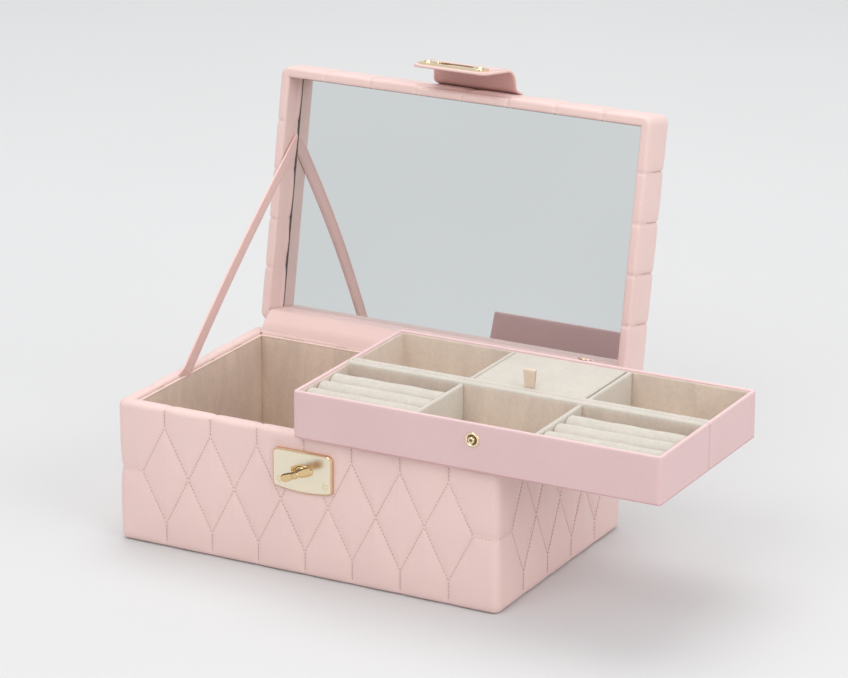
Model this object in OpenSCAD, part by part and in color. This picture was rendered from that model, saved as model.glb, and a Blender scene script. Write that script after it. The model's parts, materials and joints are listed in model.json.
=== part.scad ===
// Quilted jewelry box: a base, a mirrored lid on a long hinge, a turn lock under a leather flap,
// and a travel tray of two halves that folds shut and here stands on the open base.
// Millimetres. The origin is the centre of the base's underside, +Z is up and -Y is the front.

/* [Base] */
// Outside width of the base
base_w = 280; // [260:1:300]
// Outside depth of the base
base_d = 176; // [165:1:190]
// Outside height of the base, up to its rim
base_h = 97; // [85:1:110]
// Thickness of the boards under the leather
board_t = 6; // [4:0.5:8]
// Thickness of the quilted leather with its foam
cover_t = 2.5; // [2:0.1:3]
// Thickness of the suede lining panels
lining_t = 1.2; // [0.8:0.1:2]
// Radius of the base's and the lid's upright corners
corner_r = 7; // [5:0.5:8]
// Height of the low dividers on the base's floor
divider_h = 30; // [15:1:40]

/* [Lid] */
// Angle of the lid above closed, where the stay strap is taut
lid_open = 101; // [95:1:110]
// Height of the lid over its rim
lid_h = 31; // [27:1:36]
// Depth of the recess in front of the mirror
recess = 17.5; // [12:0.5:19]
// Thickness of the lid's side boards
lid_board_t = 4; // [3:0.5:5]
// Thickness of the leather wrap inside the lid's walls
wrap_t = 1; // [0.6:0.1:1.5]
// Thickness of the mirror glass
mirror_t = 2.5; // [2:0.1:3]

/* [Hinge] */
// Distance of the hinge pin behind the base
hinge_out = 3.5; // [3.2:0.1:4.5]
// Outside radius of a hinge knuckle
knuckle_r = 2.5; // [2.2:0.1:2.8]
// Radius of the hinge pin
pin_r = 1.2; // [1:0.1:1.4]
// Number of knuckles on both leaves together
knuckle_n = 11; // [5:2:15]

/* [Stay strap] */
// Width of the leather stay strap
strap_w = 12; // [8:0.5:15]
// Thickness of the leather stay strap
strap_t = 1.4; // [1:0.1:1.6]
// Distance of the strap's lower end in front of the base's middle
strap_foot = 22; // [10:1:35]

/* [Lock] */
// Width of the lock plate
plate_w = 44; // [38:1:50]
// Height of the lock plate at its middle
plate_h = 28.5; // [24:0.5:32]
// Thickness of the lock plate
plate_t = 2; // [1.5:0.1:2.2]
// Height of the turn knob's axis above the table
knob_z = 73; // [65:1:80]
// Length of the turn knob's bar
knob_l = 27; // [22:1:28]
// Width of the turn knob's bar at its ends
knob_w = 7; // [5:0.5:8]
// Angle of the turn knob's bar from level
knob_turn = 25; // [0:1:65]

/* [Closure flap] */
// Width of the flap at its root
flap_root_w = 63; // [56:1:70]
// Width of the flap at its free end
flap_end_w = 56; // [50:1:60]
// Height of the flap's root above the lid's rim
flap_root_t = 19; // [5:0.5:20]
// Angle that the flap's root stands out from the lid's front
flap_out = 74; // [10:1:80]
// Angle that the flap's end is bent back towards the lid
flap_curl = 77; // [0:1:80]
// Width of the strike plate
strike_w = 48; // [44:1:50]
// Height of the strike plate
strike_h = 15; // [14:0.5:18]

/* [Travel tray] */
// Outside width of the tray
tray_w = 258; // [240:1:260]
// Outside depth of both halves together
tray_d = 142; // [130:1:150]
// Outside height of the tray
tray_h = 31.5; // [28:0.5:36]
// Position of the tray's left face from the middle of the base
tray_x = -3; // [-20:1:0]
// Position of the tray's front face from the middle of the base
tray_y = -96; // [-98:1:-88]
// Thickness of the tray's leather covered walls
tray_wall = 3; // [2.5:0.1:3.5]
// Thickness of each of the two walls that meet at the fold
seam_wall = 4.4; // [3:0.1:5]
// Thickness of the tray's suede lining
tray_lining = 1; // [0.6:0.1:1.4]
// Thickness of the dividers between compartments
tray_divider = 3; // [2:0.5:4]
// Distance from one ring roll to the next
roll_pitch = 16; // [14:0.5:17]
// Angle that the snap tab leans back from upright
tab_lean = 110; // [40:1:120]

/* [Hidden] */
$fn = 64;

leather = [0.87, 0.74, 0.72];
tray_leather = [0.82, 0.70, 0.71];
suede = [0.77, 0.69, 0.61];
cream = [0.90, 0.87, 0.81];
board = [0.72, 0.58, 0.42];
gold = [0.88, 0.82, 0.66];
steel = [0.72, 0.72, 0.72];

gap = 0.3;                                   // air between pieces that move past each other
eps = 0.01;

// Base, from the outside in and from the table up
board_x = base_w / 2 - cover_t;
board_y = base_d / 2 - cover_t;
in_x = board_x - board_t;
in_y = board_y - board_t;
clear_x = in_x - lining_t;
clear_y = in_y - lining_t;
under_t = 1;
cover_foot = 0.5;                            // the cover ends this far above the table
floor_top = under_t + 5;
pad_top = floor_top + 2;
rim_cap = 2;                                 // leather over the top edge of the boards
board_top = base_h - rim_cap;
lining_top = base_h - 3;
bay_y = -4;                                  // front face of the long divider
long_divider_t = 4;
cross_divider_t = 3;

// Hinge
hinge_y = base_d / 2 + hinge_out;
hinge_z = base_h + gap;
hinge_l = 264;
knuckle_l = hinge_l / knuckle_n;
knuckle_gap = 0.3;
pin_play = 0.05;
leaf_t = 1;
leaf_h = 15;
web_low = 1.3;                               // the leaf's web meets the knuckle between these heights
web_high = 2.2;
screw_x = [-108, -54, 0, 54, 108];

// Lid, in layers above its rim plane
lid_cap = 1.5;
mirror_top = recess + mirror_t;
backing_top = mirror_top + 1;
lid_board_top = backing_top + 4;
foam_top = lid_h - 2;
lid_in_x = board_x - lid_board_t;
lid_in_y = board_y - lid_board_t;
mirror_play = 0.2;
strap_head = 124;                            // from the hinge to the strap's upper end, along the lid

// Lock and flap
plate_top = knob_z + 13;
plate_r = 4;
plate_drop = 2.2;                            // how far the plate's lower edge bows down
plate_bow = (pow(plate_w / 2, 2) + pow(plate_drop, 2)) / (2 * plate_drop);
boss_w = 16;
boss_h = 8;
boss_t = 1.2;
shaft_r = 3;
shaft_play = 0.08;
knob_back = 7.5;                             // face of the base to the back of the knob's bar
knob_t = 4;
well_r = 7.5;                                // pocket behind the front board for the retainer
well_depth = 3;
lock_screw_x = 16.7;
lock_screw_z = knob_z - 8;
lock_screw_h = 0.3;
flap_t = 2;
flap_back = plate_t + 0.6;                   // the closed flap's inner face, in front of the base
flap_y = -base_d / 2 - flap_back - flap_t / 2;
flap_z = hinge_z + flap_root_t;
flap_l = flap_z - knob_z + strike_h / 2 + 1.8;
bend_l = 14;                                 // from the flap's root to the bend across its leather
bend_gap = 1.3;                              // the leather stops this far on both sides of the bend
strike_t = 1.5;
slot_w = knob_l + 2;
slot_h = knob_w + 1.6;
anchor_gap = 1.6;
anchor_h = 7;

// Tray
tray_z = base_h + gap;
tray_top = tray_z + tray_h;
fold_y = tray_y + tray_d / 2;
fold_z = tray_top + gap;
half_d = tray_d / 2 - gap / 2;
tray_corner = 3;
tray_floor = 3;
lining_drop = 1.2;                           // the tray's lining stops this far under its rim
tray_in = tray_wall + tray_lining;
divider_pitch = (tray_w - 2 * tray_in - 2 * tray_divider) / 3 + tray_divider;
divider_x = [for (i = [1, 2]) tray_x + tray_in - tray_divider + i * divider_pitch];
tray_floor_z = tray_z + tray_floor + tray_lining;
divider_top = tray_top - 0.6;
roll_r = roll_pitch / 2 - 0.1;
roll_top = tray_top - 1.5;
roll_l = divider_pitch - tray_divider - 0.6;
roll_y = tray_y + tray_in + 1.4 + roll_r;
stud_z = tray_z + 20.8;
tab_w = 14;
tab_t = 1.5;
tab_l = 19;
tab_y = tray_y + tray_d + 2.5 + tab_t / 2;
tab_z = fold_z - 2;
tray_mid = tray_x + tray_w / 2;
flip_t = 3;
flip_play = 0.5;
flip_front = fold_y + gap / 2 + seam_wall + tray_lining + flip_play;
flip_y = tray_y + tray_d - tray_in - 0.4 - flip_t / 2;
flip_z = tray_top - 0.8 - flip_t / 2;
flip_w = divider_pitch - tray_divider - 2 * flip_play;

// Point of the open lid: s is measured from the hinge towards the lid's front, t from its rim plane up
function lid_y(s, t) = hinge_y - s * cos(lid_open) + t * sin(lid_open);
function lid_z(s, t) = hinge_z + s * sin(lid_open) + t * cos(lid_open);

// Unit normal of the polyline p at point i, on its left side
function dir(a, b) = (b - a) / norm(b - a);
function left(v) = [-v[1], v[0]];
function normal_at(p, i) = let (
    before = dir(p[max(i - 1, 0)], p[max(i, 1)]),
    after = dir(p[min(i, len(p) - 2)], p[min(i + 1, len(p) - 1)])
) left(dir([0, 0], before + after));

// Shared shapes
module block(low, high) {
    translate(low) cube(high - low);
}

module rounded_rect(w, d, r) {
    square([w - 2 * r, d], center = true);
    square([w, d - 2 * r], center = true);
    for (x = [-1, 1], y = [-1, 1]) translate([x * (w / 2 - r), y * (d / 2 - r)]) circle(r);
}

// A block with upright rounded corners whose top edge is eased in small steps
module eased_block(w, d, low, high, r, ease) {
    steps = 4;
    translate([0, 0, low]) linear_extrude(high - low - ease) rounded_rect(w, d, r);
    for (i = [1 : steps]) {
        inset = ease * (1 - cos(90 * i / steps));
        rise = ease * sin(90 * i / steps);
        translate([0, 0, high - ease - eps])
            linear_extrude(rise + eps) rounded_rect(w - 2 * inset, d - 2 * inset, r - inset);
    }
}

// A ribbon of constant thickness along the polyline p in the YZ plane, w wide along X
module ribbon(p, t, w) {
    n = [for (i = [0 : len(p) - 1]) normal_at(p, i) * t / 2];
    outline = concat(
        [for (i = [0 : len(p) - 1]) p[i] + n[i]],
        [for (i = [len(p) - 1 : -1 : 0]) p[i] - n[i]]
    );
    translate([-w / 2, 0, 0]) rotate([90, 0, 90]) linear_extrude(w) polygon(outline);
}

// A bar along X with a round section
module rod_x(x0, x1, y, z, r) {
    translate([x0, y, z]) rotate([0, 90, 0]) cylinder(r = r, h = x1 - x0);
}

// A peg along Y, from y0 to y1
module rod_y(x, y0, y1, z, r) {
    translate([x, y1, z]) rotate([90, 0, 0]) cylinder(r = r, h = y1 - y0);
}

// A low round screw head with a slot, standing on the XY plane
module screw_head(r, h) {
    difference() {
        union() {
            cylinder(r = r, h = h * 0.6);
            cylinder(r = r * 0.8, h = h);
        }
        translate([-r, -0.35, h / 2]) cube([2 * r, 0.7, h]);
    }
}

// Turns children by the angle a about the line along X through y and z
module turn_about(y, z, a) {
    translate([0, y, z]) rotate([a, 0, 0]) translate([0, -y, -z]) children();
}

// Opens the closed lid to its rest angle
module lid_frame() {
    turn_about(hinge_y, hinge_z, -lid_open) children();
}

// Lifts the closed flap's root off the open lid
module flap_root_frame() {
    lid_frame() turn_about(flap_y, flap_z, -flap_out) children();
}

// Bends the flap's end back
module flap_end_frame() {
    flap_root_frame() turn_about(flap_y, flap_z - bend_l, flap_curl) children();
}

// Leans the upright snap tab back
module tab_frame() {
    turn_about(tab_y, tab_z, -tab_lean) children();
}

// Base carcass
module base_floor_board() {
    color(board) block([-board_x, -board_y, under_t], [board_x, board_y, floor_top]);
}

module base_front_board() {
    color(board) difference() {
        block([-board_x, -board_y, floor_top], [board_x, -in_y, board_top]);
        rod_y(0, -board_y - 1, -in_y + 1, knob_z, shaft_r + 2 * shaft_play);
        rod_y(0, -in_y - well_depth, -in_y + 1, knob_z, well_r);
    }
}

module base_back_board() {
    color(board) block([-board_x, in_y, floor_top], [board_x, board_y, board_top]);
}

module base_side_board(low_x) {
    color(board) block([low_x, -in_y, floor_top], [low_x + board_t, in_y, board_top]);
}

module base_left_board() {
    base_side_board(-board_x);
}

module base_right_board() {
    base_side_board(in_x);
}

// Quilted leather round the four sides and over the rim
module base_cover() {
    color(leather) difference() {
        eased_block(base_w, base_d, cover_foot, base_h, corner_r, 2);
        block([-board_x, -board_y, -1], [board_x, board_y, board_top]);
        block([-in_x, -in_y, -1], [in_x, in_y, base_h + 1]);
        rod_y(0, -base_d / 2 - 1, -board_y + 1, knob_z, shaft_r + 2 * shaft_play);
    }
}

module base_underside() {
    color(suede) block([-board_x + 0.5, -board_y + 0.5, 0], [board_x - 0.5, board_y - 0.5, under_t]);
}

// Suede lining
module lining_long(low_y) {
    color(suede) block([-in_x, low_y, floor_top], [in_x, low_y + lining_t, lining_top]);
}

module lining_front() {
    lining_long(-in_y);
}

module lining_back() {
    lining_long(clear_y);
}

module lining_short(low_x) {
    color(suede) block([low_x, -clear_y, floor_top], [low_x + lining_t, clear_y, lining_top]);
}

module lining_left() {
    lining_short(-in_x);
}

module lining_right() {
    lining_short(clear_x);
}

module floor_pad() {
    color(suede) block([-clear_x, -clear_y, floor_top], [clear_x, clear_y, pad_top]);
}

// Low walls on the floor: the bay in front of the long one takes the folded travel tray
module long_divider() {
    color(cream) block([-clear_x, bay_y, pad_top], [clear_x, bay_y + long_divider_t, pad_top + divider_h]);
}

module cross_dividers() {
    color(cream) for (x = [-1, 1] * clear_x / 3)
        translate([x - cross_divider_t / 2, bay_y + long_divider_t, pad_top])
            cube([cross_divider_t, clear_y - bay_y - long_divider_t, divider_h]);
}

// One leaf of the long hinge: side is -1 under the pin and 1 over it, first is its first knuckle
module hinge_leaf(side, first) {
    web_z = side > 0 ? web_low : -web_high;
    plate_z = side > 0 ? web_low : -leaf_h - web_low;
    color(steel) difference() {
        union() {
            translate([-hinge_l / 2, base_d / 2, hinge_z + plate_z]) cube([hinge_l, leaf_t, leaf_h]);
            for (i = [first : 2 : knuckle_n - 1]) {
                x0 = -hinge_l / 2 + i * knuckle_l + knuckle_gap / 2;
                x1 = x0 + knuckle_l - knuckle_gap;
                rod_x(x0, x1, hinge_y, hinge_z, knuckle_r);
                block([x0, base_d / 2, hinge_z + web_z], [x1, hinge_y, hinge_z + web_z + web_high - web_low]);
            }
        }
        rod_x(-hinge_l, hinge_l, hinge_y, hinge_z, pin_r + pin_play);
    }
}

module hinge_leaf_base() {
    hinge_leaf(-1, 0);
}

module hinge_pin() {
    color(steel) {
        rod_x(-hinge_l / 2, hinge_l / 2, hinge_y, hinge_z, pin_r);
        rod_x(-hinge_l / 2 - 1, -hinge_l / 2, hinge_y, hinge_z, pin_r + 0.8);
        rod_x(hinge_l / 2, hinge_l / 2 + 1, hinge_y, hinge_z, pin_r + 0.8);
    }
}

module hinge_screws(z) {
    color(steel) for (x = screw_x)
        translate([x, base_d / 2 + leaf_t, z]) rotate([-90, 0, 0]) screw_head(2.4, 0.9);
}

module hinge_screws_base() {
    hinge_screws(hinge_z - web_low - leaf_h / 2 - 1);
}

// Leather strip that covers the hinge gap from inside: it bends as the lid turns
module hinge_gusset() {
    gusset_t = 1;
    in_s = hinge_y - lid_in_y + wrap_t;
    route = [
        [clear_y - 0.6, base_h - 8],
        [clear_y - 0.6, base_h - 1],
        [clear_y + 0.9, base_h + 2.4],
        [clear_y + 5, base_h + 6.2],
        [clear_y + 10, base_h + 9.8],
        [lid_y(in_s + 1, 1), lid_z(in_s + 1, 1)],
        [lid_y(in_s + 0.9, recess - gap), lid_z(in_s + 0.9, recess - gap)]
    ];
    color(leather) ribbon(route, gusset_t, 2 * clear_x - 4);
}

// Flat leather strap beside the left wall, taut between the base's lining and the lid's recess. Its
// lower end is cut level with the rim and its upper end along the mirror.
module stay_strap() {
    foot = [-strap_foot, lining_top + 0.2];
    head = [lid_y(strap_head, recess - gap), lid_z(strap_head, recess - gap)];
    along = dir(foot, head);
    up_lid = [lid_y(1, 0) - lid_y(0, 0), lid_z(1, 0) - lid_z(0, 0)];
    half_foot = strap_w / 2 / along[1];
    half_head = strap_w / 2 / (left(along) * up_lid);
    color(leather) translate([-clear_x - 0.9, 0, 0]) rotate([90, 0, 90]) linear_extrude(strap_t)
        polygon([foot + [half_foot, 0], head - up_lid * half_head, head + up_lid * half_head,
            foot - [half_foot, 0]]);
}

// Turn lock on the base's front
module lock_plate() {
    color(gold) difference() {
        translate([0, -base_d / 2, 0]) rotate([90, 0, 0]) union() {
            linear_extrude(plate_t) intersection() {
                translate([0, plate_top - plate_h / 2]) rounded_rect(plate_w, plate_h, plate_r);
                translate([0, plate_top - plate_h + plate_bow]) circle(plate_bow, $fn = 180);
            }
            linear_extrude(plate_t + boss_t) translate([0, knob_z]) {
                square([boss_w - boss_h, boss_h], center = true);
                for (x = [-1, 1]) translate([x * (boss_w - boss_h) / 2, 0]) circle(boss_h / 2);
            }
        }
        rod_y(0, -base_d, -base_d / 2 + 1, knob_z, shaft_r + shaft_play);
    }
}

module lock_screws() {
    color(gold) for (x = [-1, 1] * lock_screw_x)
        translate([x, -base_d / 2 - plate_t, lock_screw_z]) rotate([90, 0, 0]) rotate(30)
            screw_head(2.2, lock_screw_h);
}

module turn_knob() {
    bar = -base_d / 2 - knob_back;
    color(gold) {
        rod_y(0, bar - 1, -in_y - 0.5, knob_z, shaft_r);
        translate([0, bar, knob_z]) rotate([90, 0, 0]) rotate(knob_turn) {
            linear_extrude(knob_t) {
                circle(knob_w / 2);
                for (a = [0, 180]) rotate(a)
                    polygon([[0, -2], [knob_l / 2 - 3, -knob_w / 2], [knob_l / 2 - 1, -knob_w / 2 + 0.5],
                        [knob_l / 2, -1.5], [knob_l / 2, 1.5], [knob_l / 2 - 1, knob_w / 2 - 0.5],
                        [knob_l / 2 - 3, knob_w / 2], [0, 2]]);
            }
            cylinder(r = 2.4, h = knob_t + 0.8);
        }
    }
}

// Round clip on the end of the knob's shaft, in the pocket behind the front board
module knob_retainer() {
    color(steel) difference() {
        rod_y(0, -in_y - well_depth + 0.3, -in_y - 0.7, knob_z, well_r - 1.5);
        rod_y(0, -in_y - well_depth, -in_y, knob_z, shaft_r);
    }
}

// Lid, built closed and opened by lid_frame
module lid_layer(half_x, half_y, low, high) {
    block([-half_x, -half_y, hinge_z + low], [half_x, half_y, hinge_z + high]);
}

module lid_top_board() {
    color(board) lid_frame() lid_layer(lid_in_x, lid_in_y, backing_top, lid_board_top);
}

module lid_long_board(low_y) {
    color(board) lid_frame()
        block([-board_x, low_y, hinge_z + lid_cap], [board_x, low_y + lid_board_t, hinge_z + lid_board_top]);
}

module lid_front_board() {
    lid_long_board(-board_y);
}

module lid_back_board() {
    lid_long_board(lid_in_y);
}

module lid_short_board(low_x) {
    high_x = low_x + lid_board_t;
    color(board) lid_frame()
        block([low_x, -lid_in_y, hinge_z + lid_cap], [high_x, lid_in_y, hinge_z + lid_board_top]);
}

module lid_left_board() {
    lid_short_board(-board_x);
}

module lid_right_board() {
    lid_short_board(lid_in_x);
}

module lid_foam() {
    color(cream) lid_frame() lid_layer(board_x - 1, board_y - 1, lid_board_top, foam_top);
}

// Quilted leather over the lid's top and sides, turned round its rim
module lid_cover() {
    color(leather) lid_frame() difference() {
        translate([0, 0, hinge_z]) eased_block(base_w, base_d, 0, lid_h, corner_r, 3);
        lid_layer(board_x, board_y, lid_cap, lid_board_top);
        lid_layer(board_x - 1, board_y - 1, lid_cap, foam_top);
        lid_layer(lid_in_x, lid_in_y, -1, lid_board_top);
    }
}

module lid_inner_wrap() {
    color(leather) lid_frame() difference() {
        lid_layer(lid_in_x, lid_in_y, 0.3, recess);
        lid_layer(lid_in_x - wrap_t, lid_in_y - wrap_t, -1, recess + 1);
    }
}

module mirror_plate() {
    color([0.80, 0.83, 0.83]) lid_frame()
        lid_layer(lid_in_x - mirror_play, lid_in_y - mirror_play, recess, mirror_top);
}

module mirror_backing() {
    color(board) lid_frame()
        lid_layer(lid_in_x - mirror_play, lid_in_y - mirror_play, mirror_top, backing_top);
}

module hinge_leaf_lid() {
    lid_frame() hinge_leaf(1, 1);
}

module hinge_screws_lid() {
    lid_frame() hinge_screws(hinge_z + web_low + leaf_h / 2 + 1);
}

// Stitched leather patch that holds the root of the flap
module flap_anchor() {
    half = flap_root_w / 2;
    low_z = flap_z + anchor_gap;
    color(leather) lid_frame()
        block([-half, flap_y - flap_t / 2, low_z], [half, -base_d / 2, low_z + anchor_h]);
}

// Closure flap, built closed over the lock plate: one piece of leather that bends at its root and
// again across its middle, so its two parts are drawn apart
module flap_outline() {
    r = 7;
    half = flap_end_w / 2;
    polygon([[-flap_root_w / 2, 0], [-half, r - flap_l], [-half + r, -flap_l],
        [half - r, -flap_l], [half, r - flap_l], [flap_root_w / 2, 0]]);
    for (x = [-1, 1]) translate([x * (half - r), r - flap_l]) circle(r);
}

module flap_leather() {
    color(leather) translate([0, flap_y + flap_t / 2, flap_z]) rotate([90, 0, 0]) linear_extrude(flap_t)
        children();
}

module flap_root() {
    flap_root_frame() flap_leather() intersection() {
        flap_outline();
        translate([-flap_root_w, bend_gap - bend_l]) square([2 * flap_root_w, bend_l]);
    }
}

module flap_end() {
    flap_end_frame() flap_leather() intersection() {
        difference() {
            flap_outline();
            translate([0, knob_z - flap_z]) rounded_rect(slot_w + 1, slot_h + 1, 3);
        }
        translate([-flap_root_w, -2 * flap_l]) square([2 * flap_root_w, 2 * flap_l - bend_l - bend_gap]);
    }
}

module strike_plate() {
    color(gold) flap_end_frame() translate([0, flap_y - flap_t / 2, knob_z]) rotate([90, 0, 0])
        linear_extrude(strike_t) difference() {
            rounded_rect(strike_w, strike_h, plate_r);
            rounded_rect(slot_w, slot_h, 2.5);
        }
}

module strike_rivets() {
    color(gold) flap_end_frame() for (x = [-1, 1] * (strike_w / 2 - 4.4)) {
        rod_y(x, flap_y - flap_t / 2 - strike_t - 0.7, flap_y - flap_t / 2 - strike_t, knob_z, 2);
        rod_y(x, flap_y + flap_t / 2, flap_y + flap_t / 2 + 0.3, knob_z, 2.4);
    }
}

// Half of the tray seen from above: the outer corners are rounded, the edge at the fold is square
module half_outline(inset, seam) {
    r = max(tray_corner - inset, 0.5);
    w = tray_w / 2 - inset;
    translate([tray_mid, tray_y]) {
        translate([-w, inset + r]) square([2 * w, half_d - inset - r - seam]);
        translate([-w + r, inset]) square([2 * w - 2 * r, half_d - inset - seam]);
        for (x = [-1, 1]) translate([x * (w - r), inset + r]) circle(r);
    }
}

// Leather covered box of one half, open at its top
module half_shell() {
    color(tray_leather) difference() {
        translate([0, 0, tray_z]) linear_extrude(tray_h) half_outline(0, 0);
        translate([0, 0, tray_z + tray_floor]) linear_extrude(tray_h) half_outline(tray_wall, seam_wall);
    }
}

// Suede insert of one half
module half_lining() {
    color(suede) difference() {
        translate([0, 0, tray_z + tray_floor]) linear_extrude(tray_h - tray_floor - lining_drop)
            half_outline(tray_wall, seam_wall);
        translate([0, 0, tray_floor_z]) linear_extrude(tray_h) half_outline(tray_in, seam_wall + tray_lining);
    }
}

// Two round-topped dividers of one half
module half_dividers() {
    y0 = tray_y + tray_in;
    y1 = tray_y + half_d - seam_wall - tray_lining;
    color(cream) for (x = divider_x) {
        block([x, y0, tray_floor_z], [x + tray_divider, y1, divider_top - 1]);
        translate([x + tray_divider / 2, y1, divider_top - 1]) rotate([90, 0, 0])
            intersection() {
                cylinder(r = tray_divider / 2, h = y1 - y0);
                translate([-tray_divider, -0.2, -1]) cube([2 * tray_divider, 1.2, y1 - y0 + 2]);
            }
    }
}

// The rear half mirrors the front half at the fold
module rear_half() {
    translate([0, 2 * fold_y, 0]) mirror([0, 1, 0]) children();
}

module tray_front_shell() {
    half_shell();
}

module tray_front_lining() {
    half_lining();
}

module tray_front_dividers() {
    half_dividers();
}

module tray_rear_shell() {
    rear_half() half_shell();
}

module tray_rear_lining() {
    rear_half() half_lining();
}

module tray_rear_dividers() {
    rear_half() half_dividers();
}

// Padded roll that rings are pushed beside: numbers 1 to 3 are on the left, 4 to 6 on the right
module ring_roll(number) {
    on_right = number > 3 ? 1 : 0;
    x0 = on_right * (divider_x[1] + tray_divider) + (1 - on_right) * (tray_x + tray_in) + 0.3;
    y = roll_y + ((number - 1) % 3) * roll_pitch;
    color(cream) {
        rod_x(x0, x0 + roll_l, y, roll_top - roll_r, roll_r);
        block([x0, y - roll_r + 0.4, tray_floor_z], [x0 + roll_l, y + roll_r - 0.4, roll_top - roll_r]);
    }
}

// Press stud on the front wall
module snap_stud() {
    color(gold) {
        rod_y(tray_mid, tray_y - 0.6, tray_y, stud_z, 5);
        rod_y(tray_mid, tray_y - 2.2, tray_y - 0.6, stud_z, 3.2);
    }
}

// Suede strip over both seam walls: it is the tray's hinge and bends as the tray folds
module fold_strip() {
    half = gap / 2 + seam_wall + tray_lining;
    strip_t = 0.25;
    low = [tray_x + 1, fold_y - half, tray_top];
    color(cream) block(low, [tray_x + tray_w - 1, fold_y + half, tray_top + strip_t]);
}

// Leather patch behind the rear wall that carries the snap tab
module tab_anchor() {
    low = [tray_mid - tab_w / 2, tray_y + tray_d, tab_z - 14];
    color(tray_leather) block(low, [tray_mid + tab_w / 2, tab_y + tab_t / 2, tab_z - 1.2]);
}

// Snap tab, built upright and leaned back by tab_frame
module snap_tab() {
    end = tab_w / 2;
    color(tray_leather) tab_frame() translate([tray_mid, tab_y + tab_t / 2, tab_z]) rotate([90, 0, 0])
        linear_extrude(tab_t) {
            translate([-end, 0]) square([tab_w, tab_l - end]);
            translate([0, tab_l - end]) circle(end);
        }
}

// Ring socket on the tab, which the stud enters once the tray is folded
module snap_socket() {
    reach = 2 * fold_z - stud_z;
    color(gold) tab_frame() difference() {
        rod_y(tray_mid, tab_y - tab_t / 2 - 1.6, tab_y - tab_t / 2, reach, 5);
        rod_y(tray_mid, tab_y - tab_t / 2 - 2, tab_y - tab_t / 2 - 0.3, reach, 3.9);
    }
}

// Small lid over the rear middle compartment, hinged at its back edge
module compartment_lid() {
    x0 = divider_x[0] + tray_divider + flip_play;
    color(cream) {
        block([x0, flip_front, flip_z - flip_t / 2], [x0 + flip_w, flip_y, flip_z + flip_t / 2]);
        rod_x(x0, x0 + flip_w, flip_y, flip_z, flip_t / 2 - eps);
    }
}

module lid_pull_tab() {
    w = 8.5;
    h = 12.5;
    color(suede) translate([tray_mid, flip_front + 0.4, flip_z + flip_t / 2]) rotate([90, 0, 180])
        linear_extrude(1.8) {
            translate([-w / 2, 0]) square([w, h - 2]);
            translate([-w / 2 + 2, 0]) square([w - 4, h]);
            for (x = [-1, 1]) translate([x * (w / 2 - 2), h - 2]) circle(2);
        }
}

base_floor_board();
base_front_board();
base_back_board();
base_left_board();
base_right_board();
base_cover();
base_underside();
lining_front();
lining_back();
lining_left();
lining_right();
floor_pad();
long_divider();
cross_dividers();
hinge_leaf_base();
hinge_pin();
hinge_screws_base();
hinge_gusset();
stay_strap();
lock_plate();
lock_screws();
turn_knob();
knob_retainer();
lid_top_board();
lid_front_board();
lid_back_board();
lid_left_board();
lid_right_board();
lid_cover();
lid_foam();
lid_inner_wrap();
mirror_plate();  // mirror
mirror_backing();
hinge_leaf_lid();
hinge_screws_lid();
flap_anchor();
flap_root();
flap_end();
strike_plate();
strike_rivets();
tray_front_shell();
tray_front_lining();
tray_front_dividers();
ring_roll(1);  // ring_roll_1
ring_roll(2);  // ring_roll_2
ring_roll(3);  // ring_roll_3
ring_roll(4);  // ring_roll_4
ring_roll(5);  // ring_roll_5
ring_roll(6);  // ring_roll_6
snap_stud();
fold_strip();
tray_rear_shell();
tray_rear_lining();
tray_rear_dividers();
tab_anchor();
snap_tab();
snap_socket();
compartment_lid();
lid_pull_tab();
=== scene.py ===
"""The looks of the quilted jewelry box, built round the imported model.

Lengths are in millimetres until make_mesh turns them into metres. +X is right, +Y is the back and +Z is up,
with the origin under the middle of the base.
"""

import json
import math

import bmesh
import bpy
import numpy as np
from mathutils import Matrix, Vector


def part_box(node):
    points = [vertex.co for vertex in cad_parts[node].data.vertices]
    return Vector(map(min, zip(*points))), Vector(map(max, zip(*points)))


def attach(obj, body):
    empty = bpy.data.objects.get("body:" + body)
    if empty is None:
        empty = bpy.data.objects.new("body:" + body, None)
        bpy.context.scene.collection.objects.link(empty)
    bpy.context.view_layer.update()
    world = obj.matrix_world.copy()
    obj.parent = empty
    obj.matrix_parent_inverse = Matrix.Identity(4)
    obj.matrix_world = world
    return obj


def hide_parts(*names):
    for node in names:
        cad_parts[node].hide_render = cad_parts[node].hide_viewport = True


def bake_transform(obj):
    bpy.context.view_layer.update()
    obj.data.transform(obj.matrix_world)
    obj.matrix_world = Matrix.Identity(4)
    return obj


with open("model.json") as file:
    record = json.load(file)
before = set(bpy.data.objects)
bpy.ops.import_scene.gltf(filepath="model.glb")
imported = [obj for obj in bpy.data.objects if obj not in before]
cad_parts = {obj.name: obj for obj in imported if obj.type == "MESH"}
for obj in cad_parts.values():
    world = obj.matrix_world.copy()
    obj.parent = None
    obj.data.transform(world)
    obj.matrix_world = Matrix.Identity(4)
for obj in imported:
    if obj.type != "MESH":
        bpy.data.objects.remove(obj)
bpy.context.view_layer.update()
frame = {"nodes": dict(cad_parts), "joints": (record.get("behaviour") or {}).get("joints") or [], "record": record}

MM = 0.001
JOINTS = {j["name"]: j for j in frame["joints"]}


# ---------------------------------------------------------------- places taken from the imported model

def box(node):
    """Lowest and highest corner of a CAD node, in millimetres."""
    low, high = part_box(node)
    return np.array(low) / MM, np.array(high) / MM


def turned(points, centre, degrees):
    """Points turned about the line along X through centre, by degrees from +Y towards +Z."""
    points = np.array(points, float)
    angle = math.radians(degrees)
    y = points[..., 1] - centre[1]
    z = points[..., 2] - centre[2]
    moved = points.copy()
    moved[..., 1] = centre[1] + y * math.cos(angle) - z * math.sin(angle)
    moved[..., 2] = centre[2] + y * math.sin(angle) + z * math.cos(angle)
    return moved


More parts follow.
